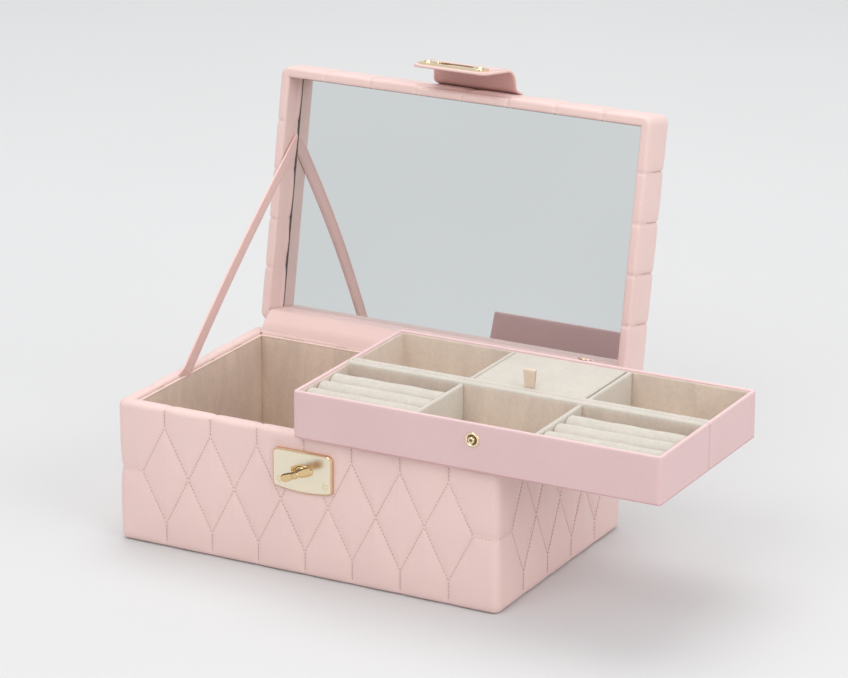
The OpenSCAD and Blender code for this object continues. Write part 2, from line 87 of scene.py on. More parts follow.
def joint_at(name):
    """A joint's place in millimetres."""
    return np.array(JOINTS[name]["pos_m"]) / MM


LID_HINGE = joint_at("lid_hinge")
LID_OPEN = JOINTS["lid_hinge"]["range_deg"][1]
TAB_LEAN = JOINTS["snap_tab_bend"]["range_deg"][1]


def opened(points):
    """From the closed lid's place to the open lid's."""
    return turned(points, LID_HINGE, -LID_OPEN)


def closed_box(node):
    """Lowest and highest corner of a node of the lid when the lid is shut."""
    co = np.array([v.co for v in frame["nodes"][node].data.vertices]) / MM
    co = turned(co, LID_HINGE, LID_OPEN)
    return co.min(0), co.max(0)


# ---------------------------------------------------------------- mesh making

def make_mesh(name, points, faces, material, orient=True):
    """A new smooth object from points in millimetres; orient turns its faces to the outside."""
    mesh = bpy.data.meshes.new(name)
    quads = faces if isinstance(faces, list) else faces.tolist()
    mesh.from_pydata((np.asarray(points).reshape(-1, 3) * MM).tolist(), [], quads)
    mesh.materials.append(material)
    if orient:
        work = bmesh.new()
        work.from_mesh(mesh)
        bmesh.ops.recalc_face_normals(work, faces=work.faces)
        work.to_mesh(mesh)
        work.free()
    mesh.shade_smooth()
    obj = bpy.data.objects.new(name, mesh)
    bpy.context.scene.collection.objects.link(obj)
    return obj


def make_piece(name, points, faces, material, slot, body=None, replaced=(), orient=True):
    """A mesh, the body it rides on and the CAD nodes it stands for, which it hides; slot is not used."""
    obj = make_mesh(name, points, faces, material, orient)
    if replaced:
        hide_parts(*replaced)
    if body:
        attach(obj, body)
    return obj


def join_parts(parts):
    """Points and faces of several parts as one."""
    points, faces, start = [], [], 0
    for part_points, part_faces in parts:
        points.append(part_points)
        faces.append(np.asarray(part_faces) + start)
        start += len(part_points)
    return np.concatenate(points), np.concatenate(faces)


def grid_faces(rows, columns, wrap):
    """Quads of a grid of points: with wrap, its last column joins its first."""
    i, j = np.meshgrid(np.arange(rows - 1), np.arange(columns if wrap else columns - 1), indexing="ij")
    here, there = i * columns + j, i * columns + (j + 1) % columns
    return np.stack([here, there, there + columns, here + columns], -1).reshape(-1, 4)


def unit(v):
    """Vectors scaled to length one."""
    return v / np.maximum(np.linalg.norm(v, axis=-1, keepdims=True), 1e-9)


def travelled_along(line):
    """Distance from a line's start to each of its points."""
    return np.concatenate([[0], np.cumsum(np.linalg.norm(np.diff(line, axis=0), axis=1))])


def rounded_path(points, radius, step):
    """Points along a flat polyline with rounded corners, no further apart than step, and their left normals.

    radius is one number for all corners, or one for each corner between the ends.
    """
    points = np.array(points, float)
    radii = np.broadcast_to(radius, len(points) - 2) if len(points) > 2 else []
    knots = [points[0]]
    for i, r in enumerate(radii):
        before, corner, after = points[i], points[i + 1], points[i + 2]
        u, v = unit(before - corner), unit(after - corner)
        half = math.acos(np.clip(u @ v, -1, 1)) / 2
        if r <= 0 or half > math.pi / 2 - 0.01:
            knots.append(corner)
            continue
        centre = corner + unit(u + v) * r / math.sin(half)
        a = corner + u * r / math.tan(half) - centre
        b = corner + v * r / math.tan(half) - centre
        sweep_angle = math.pi - 2 * half
        n = max(3, math.ceil(sweep_angle * r / step))
        for t in np.linspace(0, 1, n + 1):
            w = np.array([math.sin((1 - t) * sweep_angle), math.sin(t * sweep_angle)]) / math.sin(sweep_angle)
            knots.append(centre + w[0] * a + w[1] * b)
    knots.append(points[-1])
    line = [knots[0]]
    for a, b in zip(knots[:-1], knots[1:]):
        n = max(1, math.ceil(np.linalg.norm(b - a) / step))
        line += [a + (b - a) * k / n for k in range(1, n + 1) if np.linalg.norm(b - a) > 1e-6]
    line = np.array(line)
    along = unit(np.gradient(line, axis=0))
    return line, np.column_stack([-along[:, 1], along[:, 0]])


class Loop:
    """Columns of points round a rectangle with rounded corners, going front, right, back, left."""

    def __init__(self, low, high, radii, step, creases=((), (), (), ())):
        self.low, self.high = np.array(low[:2], float), np.array(high[:2], float)
        self.radii = np.broadcast_to(radii, 4).astype(float)
        self.sides, self.turns, self.normal, self.along = [], [], [], []
        size = self.high - self.low
        self.centres = []
        travelled = 0.0
        for side in range(4):
            r0, r1 = self.radii[side - 1], self.radii[side]
            length = size[side % 2] - r0 - r1
            self.centres.append(travelled + size[side % 2] / 2 - r0)
            n = max(2, math.ceil(length / step))
            start_angle = math.radians(-90 + 90 * side)
            share = np.arange(n) / n
            for place in creases[side]:
                t = (place + size[side % 2] / 2 - r0) / length
                share[round(t * n)] = t
            for t in share:
                self.sides.append((side, t, 0.0))
                self.normal.append((math.cos(start_angle), math.sin(start_angle)))
                self.along.append(travelled + length * t)
            travelled += length
            n = max(3, math.ceil(r1 * math.pi / 2 / step))
            for k in range(n):
                angle = start_angle + math.pi / 2 * k / n
                self.sides.append((side, 1.0, k / n))
                self.normal.append((math.cos(angle), math.sin(angle)))
                self.along.append(travelled + r1 * math.pi / 2 * k / n)
            travelled += r1 * math.pi / 2
        self.round = travelled
        self.normal = np.array(self.normal)
        self.along = np.array(self.along)

    def at(self, inset):
        """The columns' X and Y, with the rectangle made smaller by inset on each side."""
        low, high = self.low + inset, self.high - inset
        radii = np.maximum(self.radii - inset, 0.02)
        corner = [(high[0], low[1]), (high[0], high[1]), (low[0], high[1]), (low[0], low[1])]
        inward = [(-1, 1), (-1, -1), (1, -1), (1, 1)]
        middle = [np.array(c) + np.array(i) * r for c, i, r in zip(corner, inward, radii)]
        points = []
        for (side, t, turn), normal in zip(self.sides, self.normal):
            here = middle[side]
            if turn > 0 or t >= 1.0:
                points.append(here + normal * radii[side])
            else:
                before = middle[side - 1] + normal * radii[side - 1]
                points.append(before + (here + normal * radii[side] - before) * t)
        return np.array(points)


def sweep(loop, line, normals, height=None):
    """Rows of points round a loop: line holds each row's inset and Z, and height moves it out."""
    rows = []
    for k, ((inset, z), (toward_in, up)) in enumerate(zip(line, normals)):
        lift = np.zeros(len(loop.along)) if height is None else height[k]
        xy = loop.at(inset) - loop.normal * (toward_in * lift)[:, None]
        rows.append(np.column_stack([xy, z + up * lift]))
    return np.array(rows)


def sweep_piece(name, loop, line, normals, height, material, slot, body, replaced=()):
    """A piece swept round a loop."""
    rows = sweep(loop, line, normals, height)
    faces = grid_faces(len(line), len(loop.along), True)
    return make_piece(name, rows, faces, material, slot, body, replaced)


def seam_distance(points, seams):
    """Distance from each flat point to the nearest of the seams, which are pairs of points."""
    points = np.asarray(points, float)
    nearest = np.full(len(points), 1e9)
    for a, b in seams:
        a, b = np.array(a, float), np.array(b, float)
        t = np.clip((points - a) @ (b - a) / ((b - a) @ (b - a)), 0, 1)
        nearest = np.minimum(nearest, np.linalg.norm(points - a - t[:, None] * (b - a), axis=1))
    return nearest


def ripple(points, scale, seed):
    """Smooth unevenness from -1 to 1 with bumps about as wide as scale."""
    draw = np.random.default_rng(seed)
    total = np.zeros(len(points))
    for _ in range(7):
        wave = unit(draw.normal(size=3)) * 2 * math.pi / (scale * draw.uniform(0.7, 2.2))
        total += np.sin(points @ wave + draw.uniform(0, 2 * math.pi))
    return total / 7


def spaced(length, edge, step):
    """Places along an edge of a soft box: close together near its rounded ends."""
    near = [0, 0.12 * edge, 0.32 * edge, 0.62 * edge, edge]
    n = max(1, math.ceil((length - 2 * edge) / step))
    middle = [edge + (length - 2 * edge) * k / n for k in range(1, n)]
    return np.array(near + middle + [length - x for x in reversed(near)])


def soft_box(low, high, edge, step, bulge=(0, 0, 0)):
    """Points and quads of a box with rounded edges whose faces swell by bulge along each axis."""
    low, high = np.array(low, float), np.array(high, float)
    size = high - low
    edge = min(edge, size.min() / 2 * 0.98)
    ticks = [spaced(size[k], edge, step) for k in range(3)]
    counts = [len(t) for t in ticks]
    index, points, faces = {}, [], []

    def vertex(i, j, k):
        key = (i, j, k)
        if key not in index:
            index[key] = len(points)
            points.append((ticks[0][i], ticks[1][j], ticks[2][k]))
        return index[key]

    for axis in range(3):
        a, b = [k for k in range(3) if k != axis]
        for end in (0, counts[axis] - 1):
            for i in range(counts[a] - 1):
                for j in range(counts[b] - 1):
                    quad = []
                    for di, dj in ((0, 0), (1, 0), (1, 1), (0, 1)):
                        key = [0, 0, 0]
                        key[axis], key[a], key[b] = end, i + di, j + dj
                        quad.append(vertex(*key))
                    outward = (end > 0) != (axis == 1)
                    faces.append(quad if outward else quad[::-1])
    points = np.array(points)
    share = points / size * 2 - 1
    inner = np.clip(points, edge, size - edge)
    points = inner + unit(points - inner) * edge
    crown = 1 - share ** 4
    for axis in range(3):
        a, b = [k for k in range(3) if k != axis]
        side = np.sign(share[:, axis]) * (abs(share[:, axis]) > 0.5)
        points[:, axis] += side * bulge[axis] * crown[:, a] * crown[:, b]
    return points + low, np.array(faces)


def slab(across, along, kept):
    """Points and quads of a two-sided sheet: kept says which cells of the grid are there, the last
    coordinate of a point is -1 on one side and 1 on the other."""
    nx, ns = len(across), len(along)
    u, s = np.meshgrid(across, along, indexing="ij")
    points = np.concatenate([np.stack([u, s, np.full_like(u, side)], -1).reshape(-1, 3) for side in (-1, 1)])
    corners = ((0, 0), (1, 0), (1, 1), (0, 1))
    faces = []
    for i in range(nx - 1):
        for j in range(ns - 1):
            if not kept[i, j]:
                continue
            low = [(i + a) * ns + j + b for a, b in corners]
            faces += [low[::-1], [k + nx * ns for k in low]]
            for k, (di, dj) in enumerate(((0, -1), (1, 0), (0, 1), (-1, 0))):
                a, b = i + di, j + dj
                if 0 <= a < nx - 1 and 0 <= b < ns - 1 and kept[a, b]:
                    continue
                here, there = low[k], low[(k + 1) % 4]
                faces.append([here, there, there + nx * ns, here + nx * ns])
    used, numbers = np.unique(np.array(faces), return_inverse=True)
    return points[used], numbers.reshape(-1, 4)


def along_path(points, line, normals, x_middle):
    """Soft box points (X, distance along, distance off) laid on a path in the YZ plane."""
    travelled = travelled_along(line)
    s = np.clip(points[:, 1], 0, travelled[-1])
    yz = np.column_stack([np.interp(s, travelled, line[:, k]) for k in range(2)])
    off = unit(np.column_stack([np.interp(s, travelled, normals[:, k]) for k in range(2)]))
    return np.column_stack([x_middle + points[:, 0], yz + off * points[:, 2:3]])


def lathe(profile, centre, axis, sides=48):
    """Points and quads of a shape turned about an axis: profile holds distances along and off it."""
    axis = unit(np.array(axis, float))
    side = unit(np.cross(axis, [0.3, 0.2, 1.0]))
    other = np.cross(axis, side)
    angle = np.arange(sides) * 2 * math.pi / sides
    spokes = np.cos(angle)[:, None] * side + np.sin(angle)[:, None] * other
    rows = [np.array(centre) + axis * along + max(off, 0.01) * spokes for along, off in profile]
    return np.array(rows).reshape(-1, 3), grid_faces(len(rows), sides, True)


def bead(line, radius, sides=8):
    """A round bead along a closed line of points in space."""
    along = unit(np.roll(line, -1, 0) - np.roll(line, 1, 0))
    side = unit(np.cross(along, [0, 0, 1.0]))
    up = np.cross(side, along)
    angle = (np.arange(sides) * 2 * math.pi / sides)[None, :, None]
    ring = line[:, None] + radius * (np.cos(angle) * side[:, None] + np.sin(angle) * up[:, None])
    faces = grid_faces(len(line) + 1, sides, True) % (len(line) * sides)
    return ring.reshape(-1, 3), faces


def path_length(line):
    """Length of a line of points."""
    return float(np.linalg.norm(np.diff(line, axis=0), axis=1).sum())


# ---------------------------------------------------------------- stitching

def stitch_parts(line, normals, pitch, length, radius):
    """One raised thread after another along a line of points in space, as points and quads."""
    line, normals = np.asarray(line, float), np.asarray(normals, float)
    travelled = travelled_along(line)
    count = int((travelled[-1] - length) / pitch) + 1
    if count < 1:
        return []
    first = (travelled[-1] - (count - 1) * pitch) / 2
    rings = np.array([-1, -0.82, -0.4, 0, 0.4, 0.82, 1])
    sides = 6
    angle = (np.arange(sides) * 2 * math.pi / sides)[None, :, None]
    thick = (radius * np.sqrt(np.maximum(1 - rings ** 4, 0.02)))[:, None, None]
    rise = (radius * 0.7 * (1 - rings ** 2) - radius * 0.25)[:, None, None]
    faces = grid_faces(len(rings), sides, True)
    parts = []
    for k in range(count):
        s = first + k * pitch
        at = np.array([np.interp(s + rings * length / 2, travelled, line[:, c]) for c in range(3)]).T
        normal = unit(np.array([np.interp(s, travelled, normals[:, c]) for c in range(3)]))
        across = unit(np.cross(at[-1] - at[0], normal))
        ring = at[:, None] + normal * rise + thick * (np.cos(angle) * across + np.sin(angle) * normal)
        parts.append((ring.reshape(-1, 3), faces))
    return parts


def stitches(name, parts, material, slot, body=None, blend=None):
    """Gathers stitch parts in one piece that rides on a body, or, given blend, stays where it is drawn."""
    obj = make_piece(name, *join_parts(parts), material, slot, body)
    if blend:
        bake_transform(obj)


# ---------------------------------------------------------------- materials

def material_base(name, **constants):
    """A node material with these constants on its shader."""
    material = bpy.data.materials.new(name)
    material.use_nodes = True
    shader = material.node_tree.nodes["Principled BSDF"]
    for socket, value in constants.items():
        shader.inputs[socket.replace("_", " ")].default_value = value
    return material, material.node_tree, shader


def linear(*rgb):
    """Scene colour of a screen colour from 0 to 255."""
    parts = [c / 255 for c in rgb]
    return tuple(c / 12.92 if c <= 0.04045 else ((c + 0.055) / 1.055) ** 2.4 for c in parts) + (1,)


def texture(tree, kind, scale, **values):
    """A texture node on object coordinates, with scale in repeats per metre."""
    place = tree.nodes.new("ShaderNodeTexCoord")
    node = tree.nodes.new(kind)
    for key, value in values.items():
        if key in node.inputs:
            node.inputs[key].default_value = value
        else:
            setattr(node, key, value)
    node.inputs["Scale"].default_value = scale
    tree.links.new(place.outputs["Object"], node.inputs["Vector"])
    return node


def mixed_colour(tree, factor, low, high, span=(0.35, 0.65)):
    """A colour that goes from low to high as factor crosses span."""
    ramp = tree.nodes.new("ShaderNodeValToRGB")
    ramp.color_ramp.elements[0].position, ramp.color_ramp.elements[1].position = span
    ramp.color_ramp.elements[0].color, ramp.color_ramp.elements[1].color = low, high
    tree.links.new(factor, ramp.inputs["Fac"])
    return ramp.outputs["Color"]


def multiply(tree, a, b):
    """The product of two colours."""
    node = tree.nodes.new("ShaderNodeMix")
    node.data_type, node.blend_type = "RGBA", "MULTIPLY"
    node.inputs["Factor"].default_value = 1.0
    tree.links.new(a, node.inputs["A"])
    tree.links.new(b, node.inputs["B"])
    return node.outputs["Result"]


def mapped(tree, value, low, high):
    """A number that goes from low to high as a texture's value goes from 0.3 to 0.7."""
    node = tree.nodes.new("ShaderNodeMapRange")
    node.inputs["From Min"].default_value, node.inputs["From Max"].default_value = 0.3, 0.7
    node.inputs["To Min"].default_value, node.inputs["To Max"].default_value = low, high
    tree.links.new(value, node.inputs["Value"])
    return node.outputs["Result"]


def bumps(tree, shader, layers):
    """Chains bump nodes: each layer is a height socket, its strength and its depth in metres."""
    last = None
    for height, strength, depth in layers:
        node = tree.nodes.new("ShaderNodeBump")
        node.inputs["Strength"].default_value = strength
        node.inputs["Distance"].default_value = depth
        tree.links.new(height, node.inputs["Height"])
        if last:
            tree.links.new(last, node.inputs["Normal"])
        last = node.outputs["Normal"]
    tree.links.new(last, shader.inputs["Normal"])


def darker(colour, share):
    """The colour times a share of its brightness."""
    return tuple(c * share for c in colour[:3]) + (1,)


def leather(name, colour, roughness=0.42, grain=0.25):
    """Fine grained leatherette with soft patches of tone."""
    material, tree, shader = material_base(name, Specular_IOR_Level=0.42, Sheen_Weight=0.05)
    patches = texture(tree, "ShaderNodeTexNoise", 18, Detail=3.0)
    specks = texture(tree, "ShaderNodeTexNoise", 900, Detail=2.0)
    tone = mixed_colour(tree, patches.outputs["Fac"], darker(colour, 0.965), colour)
    speckle = mixed_colour(tree, specks.outputs["Fac"], (0.975, 0.97, 0.97, 1), WHITE)
    gloss = mapped(tree, patches.outputs["Fac"], roughness - 0.04, roughness + 0.05)
    tree.links.new(multiply(tree, tone, speckle), shader.inputs["Base Color"])
    tree.links.new(gloss, shader.inputs["Roughness"])
    pebbles = texture(tree, "ShaderNodeTexVoronoi", 1300, feature="SMOOTH_F1")
    pores = texture(tree, "ShaderNodeTexNoise", 3600, Detail=2.0)
    layers = [(pebbles.outputs["Distance"], grain, 0.00025), (pores.outputs["Fac"], grain * 0.6, 0.0001)]
    bumps(tree, shader, layers)
    return material


def stretched(tree, kind, scales, **values):
    """A texture node whose pattern is drawn out: scales holds its repeats per metre along X, Y and Z."""
    node = texture(tree, kind, 1.0, **values)
    stretch = tree.nodes.new("ShaderNodeMapping")
    stretch.inputs["Scale"].default_value = scales
    place = tree.nodes.new("ShaderNodeTexCoord")
    tree.links.new(place.outputs["Object"], stretch.inputs["Vector"])
    tree.links.new(stretch.outputs["Vector"], node.inputs["Vector"])
    return node


def suede(name, colour, brushed=0.10):
    """Napped cloth: brushed patches, short fibres and a soft sheen."""
    material, tree, shader = material_base(
        name, Sheen_Weight=0.3, Sheen_Roughness=0.45, Specular_IOR_Level=0.1)
    strokes = stretched(tree, "ShaderNodeTexNoise", (90, 60, 22), Detail=4.0, Distortion=0.5)
    nap = texture(tree, "ShaderNodeTexNoise", 420, Detail=3.0)
    fibres = texture(tree, "ShaderNodeTexNoise", 2600, Detail=2.0)
    tone = mixed_colour(tree, strokes.outputs["Fac"], darker(colour, 1 - brushed), colour)
    mottle = mixed_colour(tree, nap.outputs["Fac"], (0.94, 0.935, 0.93, 1), WHITE)
    tree.links.new(multiply(tree, tone, mottle), shader.inputs["Base Color"])
    tree.links.new(mapped(tree, nap.outputs["Fac"], 0.86, 0.98), shader.inputs["Roughness"])
    bumps(tree, shader, [(nap.outputs["Fac"], 0.2, 0.0002), (fibres.outputs["Fac"], 0.4, 0.0001)])
    return material


def metal(name, colour, low, high, streak=0.05):
    """Polished or satin metal with faint streaks and uneven gloss, from roughness low to high."""
    material, tree, shader = material_base(name, Metallic=1.0)
    cloud = texture(tree, "ShaderNodeTexNoise", 160, Detail=3.0)
    lines = stretched(tree, "ShaderNodeTexNoise", (40, 900, 900), Detail=2.0)
    tone = mixed_colour(tree, cloud.outputs["Fac"], darker(colour, 0.97), colour)
    tree.links.new(tone, shader.inputs["Base Color"])
    tree.links.new(mapped(tree, cloud.outputs["Fac"], low, high), shader.inputs["Roughness"])
    bumps(tree, shader, [(lines.outputs["Fac"], streak, 0.00005)])
    return material


def thread(name, colour):
    """Twisted sewing thread."""
    material, tree, shader = material_base(name, Roughness=0.7, Specular_IOR_Level=0.25)
    twist = texture(tree, "ShaderNodeTexWave", 900, bands_direction="DIAGONAL", Distortion=1.0)
    tone = mixed_colour(tree, twist.outputs["Fac"], darker(colour, 0.8), colour, (0.2, 0.8))
    tree.links.new(tone, shader.inputs["Base Color"])
    bumps(tree, shader, [(twist.outputs["Fac"], 0.4, 0.0001)])
    return material


def board(name, colour):
    """Pressed fibreboard, which shows only at the covers' edges."""
    material, tree, shader = material_base(name, Specular_IOR_Level=0.2)
    fibres = texture(tree, "ShaderNodeTexNoise", 700, Detail=5.0)
    tone = mixed_colour(tree, fibres.outputs["Fac"], darker(colour, 0.75), colour)
    tree.links.new(tone, shader.inputs["Base Color"])
    tree.links.new(mapped(tree, fibres.outputs["Fac"], 0.7, 0.9), shader.inputs["Roughness"])
    bumps(tree, shader, [(fibres.outputs["Fac"], 0.4, 0.0003)])
    return material


def silvered_glass(name):
    """A mirror with a faint cool tint and the slightest waviness."""
    material, tree, shader = material_base(name, Metallic=1.0)
    wave = texture(tree, "ShaderNodeTexNoise", 6, Detail=1.0)
    tone = mixed_colour(tree, wave.outputs["Fac"], (0.79, 0.82, 0.82, 1), (0.81, 0.84, 0.84, 1))
    tree.links.new(tone, shader.inputs["Base Color"])
    tree.links.new(mapped(tree, wave.outputs["Fac"], 0.008, 0.016), shader.inputs["Roughness"])
    bumps(tree, shader, [(wave.outputs["Fac"], 0.01, 0.0002)])
    return material


WHITE = (1, 1, 1, 1)
PINK = leather("pink_leather", linear(232, 202, 196))
PINK_PLAIN = leather("pink_plain_leather", linear(232, 200, 194), 0.4, 0.2)
# darker leather for the flap's inner face: painted shade
FLAP_INSIDE_SHADE = leather("flap_leather", linear(214, 172, 166), 0.5, 0.3)
# lighter than the plain pink leather: painted light for the strap, which faces away from the lamps
STRAP_PINK_PAINTED_LIGHT = leather("strap_leather", linear(238, 202, 196), 0.5, 0.3)
MAUVE = leather("tray_leather", linear(219, 187, 187), 0.5, 0.15)
# lighter mauve: painted highlight on the tray's rim; also used for the pale leather along the mirror's hinge side
MAUVE_EDGE = leather("tray_edge_leather", linear(228, 199, 198), 0.45, 0.15)
BEIGE_SUEDE = suede("beige_suede", linear(230, 209, 192), 0.13)
TRAY_SUEDE = suede("tray_suede", linear(221, 206, 192))
CREAM_SUEDE = suede("cream_suede", linear(206, 199, 188), 0.06)
TAB_SUEDE = suede("tab_suede", linear(226, 206, 186), 0.06)
# darker mauve for the band round the tray's bottom edge: painted shadow
TRAY_BOTTOM_SHADOW = leather("tray_bottom_shadow_leather", linear(204, 160, 160), 0.45, 0.15)
PIPING = leather("piping_leather", linear(236, 212, 200), 0.5, 0.2)
THREAD = thread("mauve_thread", linear(214, 174, 170))
PALE_THREAD = thread("pale_thread", linear(224, 190, 184))
GOLD = metal("pale_gold", (0.93, 0.77, 0.52, 1), 0.09, 0.16)
GOLD_SATIN = metal("satin_gold", (0.90, 0.81, 0.64, 1), 0.30, 0.33, 0.015)
# deeper, browner gold: painted reflection on the lock plate's eased edge; also used for the snap ring
GOLD_DEEP = metal("deep_gold", (0.78, 0.55, 0.36, 1), 0.14, 0.2, 0.03)
# darker gold than the plate for the knob, its boss and the screw heads: partly the knob's own deeper tone, partly
# painted reflection of dark surroundings
GOLD_KNOB = metal("knob_gold", (0.80, 0.58, 0.30, 1), 0.06, 0.10, 0.02)
# dark gold used as painted shade: the knob's upward faces and the press stud's hollows
GOLD_SHADE = metal("shaded_gold", (0.22, 0.14, 0.07, 1), 0.15, 0.25, 0.02)
STEEL = metal("plated_steel", (0.62, 0.61, 0.60, 1), 0.22, 0.34)
BOARD = board("fibreboard", linear(188, 158, 122))
FOAM = suede("foam", linear(232, 226, 210), 0.04)
MIRROR = silvered_glass("mirror_glass")
# dark strip round the mirror: painted shade of the gap, together with the glass's own dark edge
EDGE_AND_GAP_SHADE = leather("edge_and_gap_shade", linear(92, 84, 82), 0.5, 0.1)

SLOT_FINISH = {
    "quilted_leather": PINK, "smooth_leather": PINK_PLAIN, "tray_leather": MAUVE, "suede": BEIGE_SUEDE,
    "cream_suede": CREAM_SUEDE, "board": BOARD, "foam": FOAM, "gold": GOLD, "steel": STEEL, "mirror": MIRROR,
}


def finish_cad_nodes():
    """Every carried-over node gets its slot's finish, and metal ones get eased edges."""
    for row in frame["record"]["subparts"]:
        node = frame["nodes"][row["node"]]
        node.data.materials.clear()
        node.data.materials.append(SLOT_FINISH[row["material_slot"]])
        if row["material_slot"] in ("gold", "steel"):
            weld = node.modifiers.new("weld", "WELD")
            weld.merge_threshold = 0.00001
            ease = node.modifiers.new("ease", "BEVEL")
            ease.width = 0.00025
            ease.segments = 2
            ease.limit_method = "ANGLE"
            ease.angle_limit = math.radians(50)


# ---------------------------------------------------------------- quilting

SEAM_SINK = 0.75     # how far the seams lie under the CAD face
PUFF = 1.0           # how steeply the padding rises beside a seam
PUFF_REACH = 1.7     # distance from a seam over which it does
PILLOW = 0.8         # how much further it swells in the middle of a diamond
PILLOW_REACH = 9.0
STITCH_INSET = 0.45  # depth of the thread's middle under the CAD face
STITCH_PITCH = 2.45
STITCH_LENGTH = 1.5
STITCH_RADIUS = 0.27


def swell(distance, sink=SEAM_SINK, puff=PUFF, reach=PUFF_REACH, pillow=PILLOW):
    """Height of the padding at a distance from its seam."""
    beside_seam = puff * (1 - np.exp(-distance / reach))
    in_the_middle = pillow * (1 - np.exp(-(distance / PILLOW_REACH) ** 2))
    return beside_seam + in_the_middle - sink


def diamond_seams(count, pitch, low, high):
    """Seams of a row of diamonds centred on zero, as flat pairs of points, and its outermost crossings."""
    middle = (low + high) / 2
    seams = []
    for k in range(count):
        x = (k - (count - 1) / 2) * pitch
        for side in (-1, 1):
            seams.append(((x, high), (x + side * pitch / 2, middle)))
            seams.append(((x, low), (x + side * pitch / 2, middle)))
    return seams, (count * pitch / 2, middle)


def wall_seams(loop, walls, bottom, top, low, high):
    """Seams of the four walls on the loop's unrolled coordinate, with stubs past both rows of points."""
    seams = []
    ends = []
    for side, (count, pitch) in enumerate(walls):
        mirrored = -1 if side >= 2 else 1
        diamonds, (reach, middle) = diamond_seams(count, pitch, low, high)
        centre = loop.centres[side]
        seams += [((centre + mirrored * a[0], a[1]), (centre + mirrored * b[0], b[1])) for a, b in diamonds]
        for k in range(count):
            x = centre + (k - (count - 1) / 2) * pitch
            seams += [((x, high), (x, top)), ((x, low), (x, bottom))]
        ends.append((centre - reach, centre + reach))
    middle = (low + high) / 2
    for side in range(4):
        following = ends[(side + 1) % 4][0] + (loop.round if side == 3 else 0)
        seams.append(((ends[side][1], middle), (following, middle)))
    return seams


def around(seams, length):
    """The seams again one turn before and after, for distances across the loop's start."""
    return [((a[0] + k * length, a[1]), (b[0] + k * length, b[1])) for k in (-1, 0, 1) for a, b in seams]


def on_wall(loop, inset, u, z):
    """Points in space, and outward normals, of places on the unrolled wall."""
    u = np.mod(u, loop.round)
    order = np.append(loop.along, loop.round)
    xy = loop.at(inset)
    xy = np.vstack([xy, xy[:1]])
    normal = np.vstack([loop.normal, loop.normal[:1]])
    point = np.column_stack([np.interp(u, order, xy[:, k]) for k in range(2)] + [z])
    out = [np.interp(u, order, normal[:, k]) for k in range(2)]
    return point, unit(np.column_stack(out + [np.zeros(len(point))]))


def seam_line(a, b, step=0.8):
    """Points from a to b, no further apart than step."""
    n = max(2, math.ceil(math.dist(a, b) / step))
    t = np.linspace(0, 1, n + 1)[:, None]
    return np.array(a) * (1 - t) + np.array(b) * t


FRONT_PITCH, SIDE_PITCH = 35.0, 34.0
WALLS = [(7, FRONT_PITCH), (4, SIDE_PITCH), (7, FRONT_PITCH), (4, SIDE_PITCH)]
CREASES = [[(k - (count - 1) / 2) * pitch for k in range(count)] for count, pitch in WALLS]


def sewn(points, normals):
    """Quilting stitches along a line of points in space."""
    return stitch_parts(points, normals, STITCH_PITCH, STITCH_LENGTH, STITCH_RADIUS)


def crease_places(loop):
    """The walls' upright seams on the loop's unrolled coordinate."""
    return [loop.centres[side] + place for side, places in enumerate(CREASES) for place in places]


def base_outside():
    """Quilted leather on the base's walls, over its rim and down to the lining."""
    low, high = box("base_cover")
    rim = high[2]
    inner = box("lining_left")[0][0] - low[0]
    loop = Loop(low, high, 4.5, 1.2, CREASES)
    line, normals = rounded_path(
        [(5, low[2]), (0, low[2]), (0, rim), (inner, rim), (inner, rim - 6)], [2.0, 3.2, 2.0], 1.2)
    levels = low[2] - 5 + travelled_along(line)
    seams = wall_seams(loop, WALLS, low[2] - 9, rim + 20, 0.17 * rim, 0.86 * rim)
    everywhere = around(seams, loop.round)
    plate_low, plate_high = box("lock_plate")
    from_plate_x = np.maximum(abs(loop.along - loop.centres[0]) - plate_high[0], 0)
    height = []
    for level in levels:
        distance = seam_distance(np.column_stack([loop.along, np.full(len(loop.along), level)]), everywhere)
        over_rim = np.clip((level - (rim - 4)) / 5, 0, 1)
        near_foot = np.clip((4 - level) / 5, 0, 1)
        padded = swell(distance) * (1 - np.maximum(over_rim, near_foot))
        flat = 0.75 * (1 - np.exp(-distance / 1.3)) - 0.7
        from_plate_z = max(plate_low[2] - level, level - plate_high[2], 0)
        pressed = np.hypot(from_plate_x, from_plate_z) * 0.22 - 0.25
        height.append(np.minimum(padded + flat * over_rim - 0.2 * near_foot, pressed))
    points = sweep(loop, line, normals, height).reshape(-1, 3)
    outward = unit((points - [0, 0, rim / 2]) * [1, 1.6, 0])
    points = points + outward * (ripple(points, 26, 3) * 0.14)[:, None]
    faces = grid_faces(len(line), len(loop.along), True)
    quilt = make_piece("base_quilting", points, faces, PINK, "quilted_leather", "base", ["base_cover"])
    parts = []
    for seam in seams:
        flat = seam_line(*[(u, np.clip(z, 3.5, rim - 1)) for u, z in seam])
        parts += sewn(*on_wall(loop, STITCH_INSET, flat[:, 0], flat[:, 1]))
    stitches("base_stitching", parts, THREAD, "quilted_leather", "base")


def rim_height(distance):
    """Height of the lid's rim beside a crease."""
    return 0.05 - np.exp(-distance / 0.8) - 0.1 * np.exp(-(distance / 7) ** 2)


def lid_crown(inset):
    """How far the middle of the lid's top stands above its edge."""
    return 1.6 * np.clip((inset - 1) / 8, 0, 1) * (1 - np.exp(-np.maximum(inset - 2, 0) / 22))


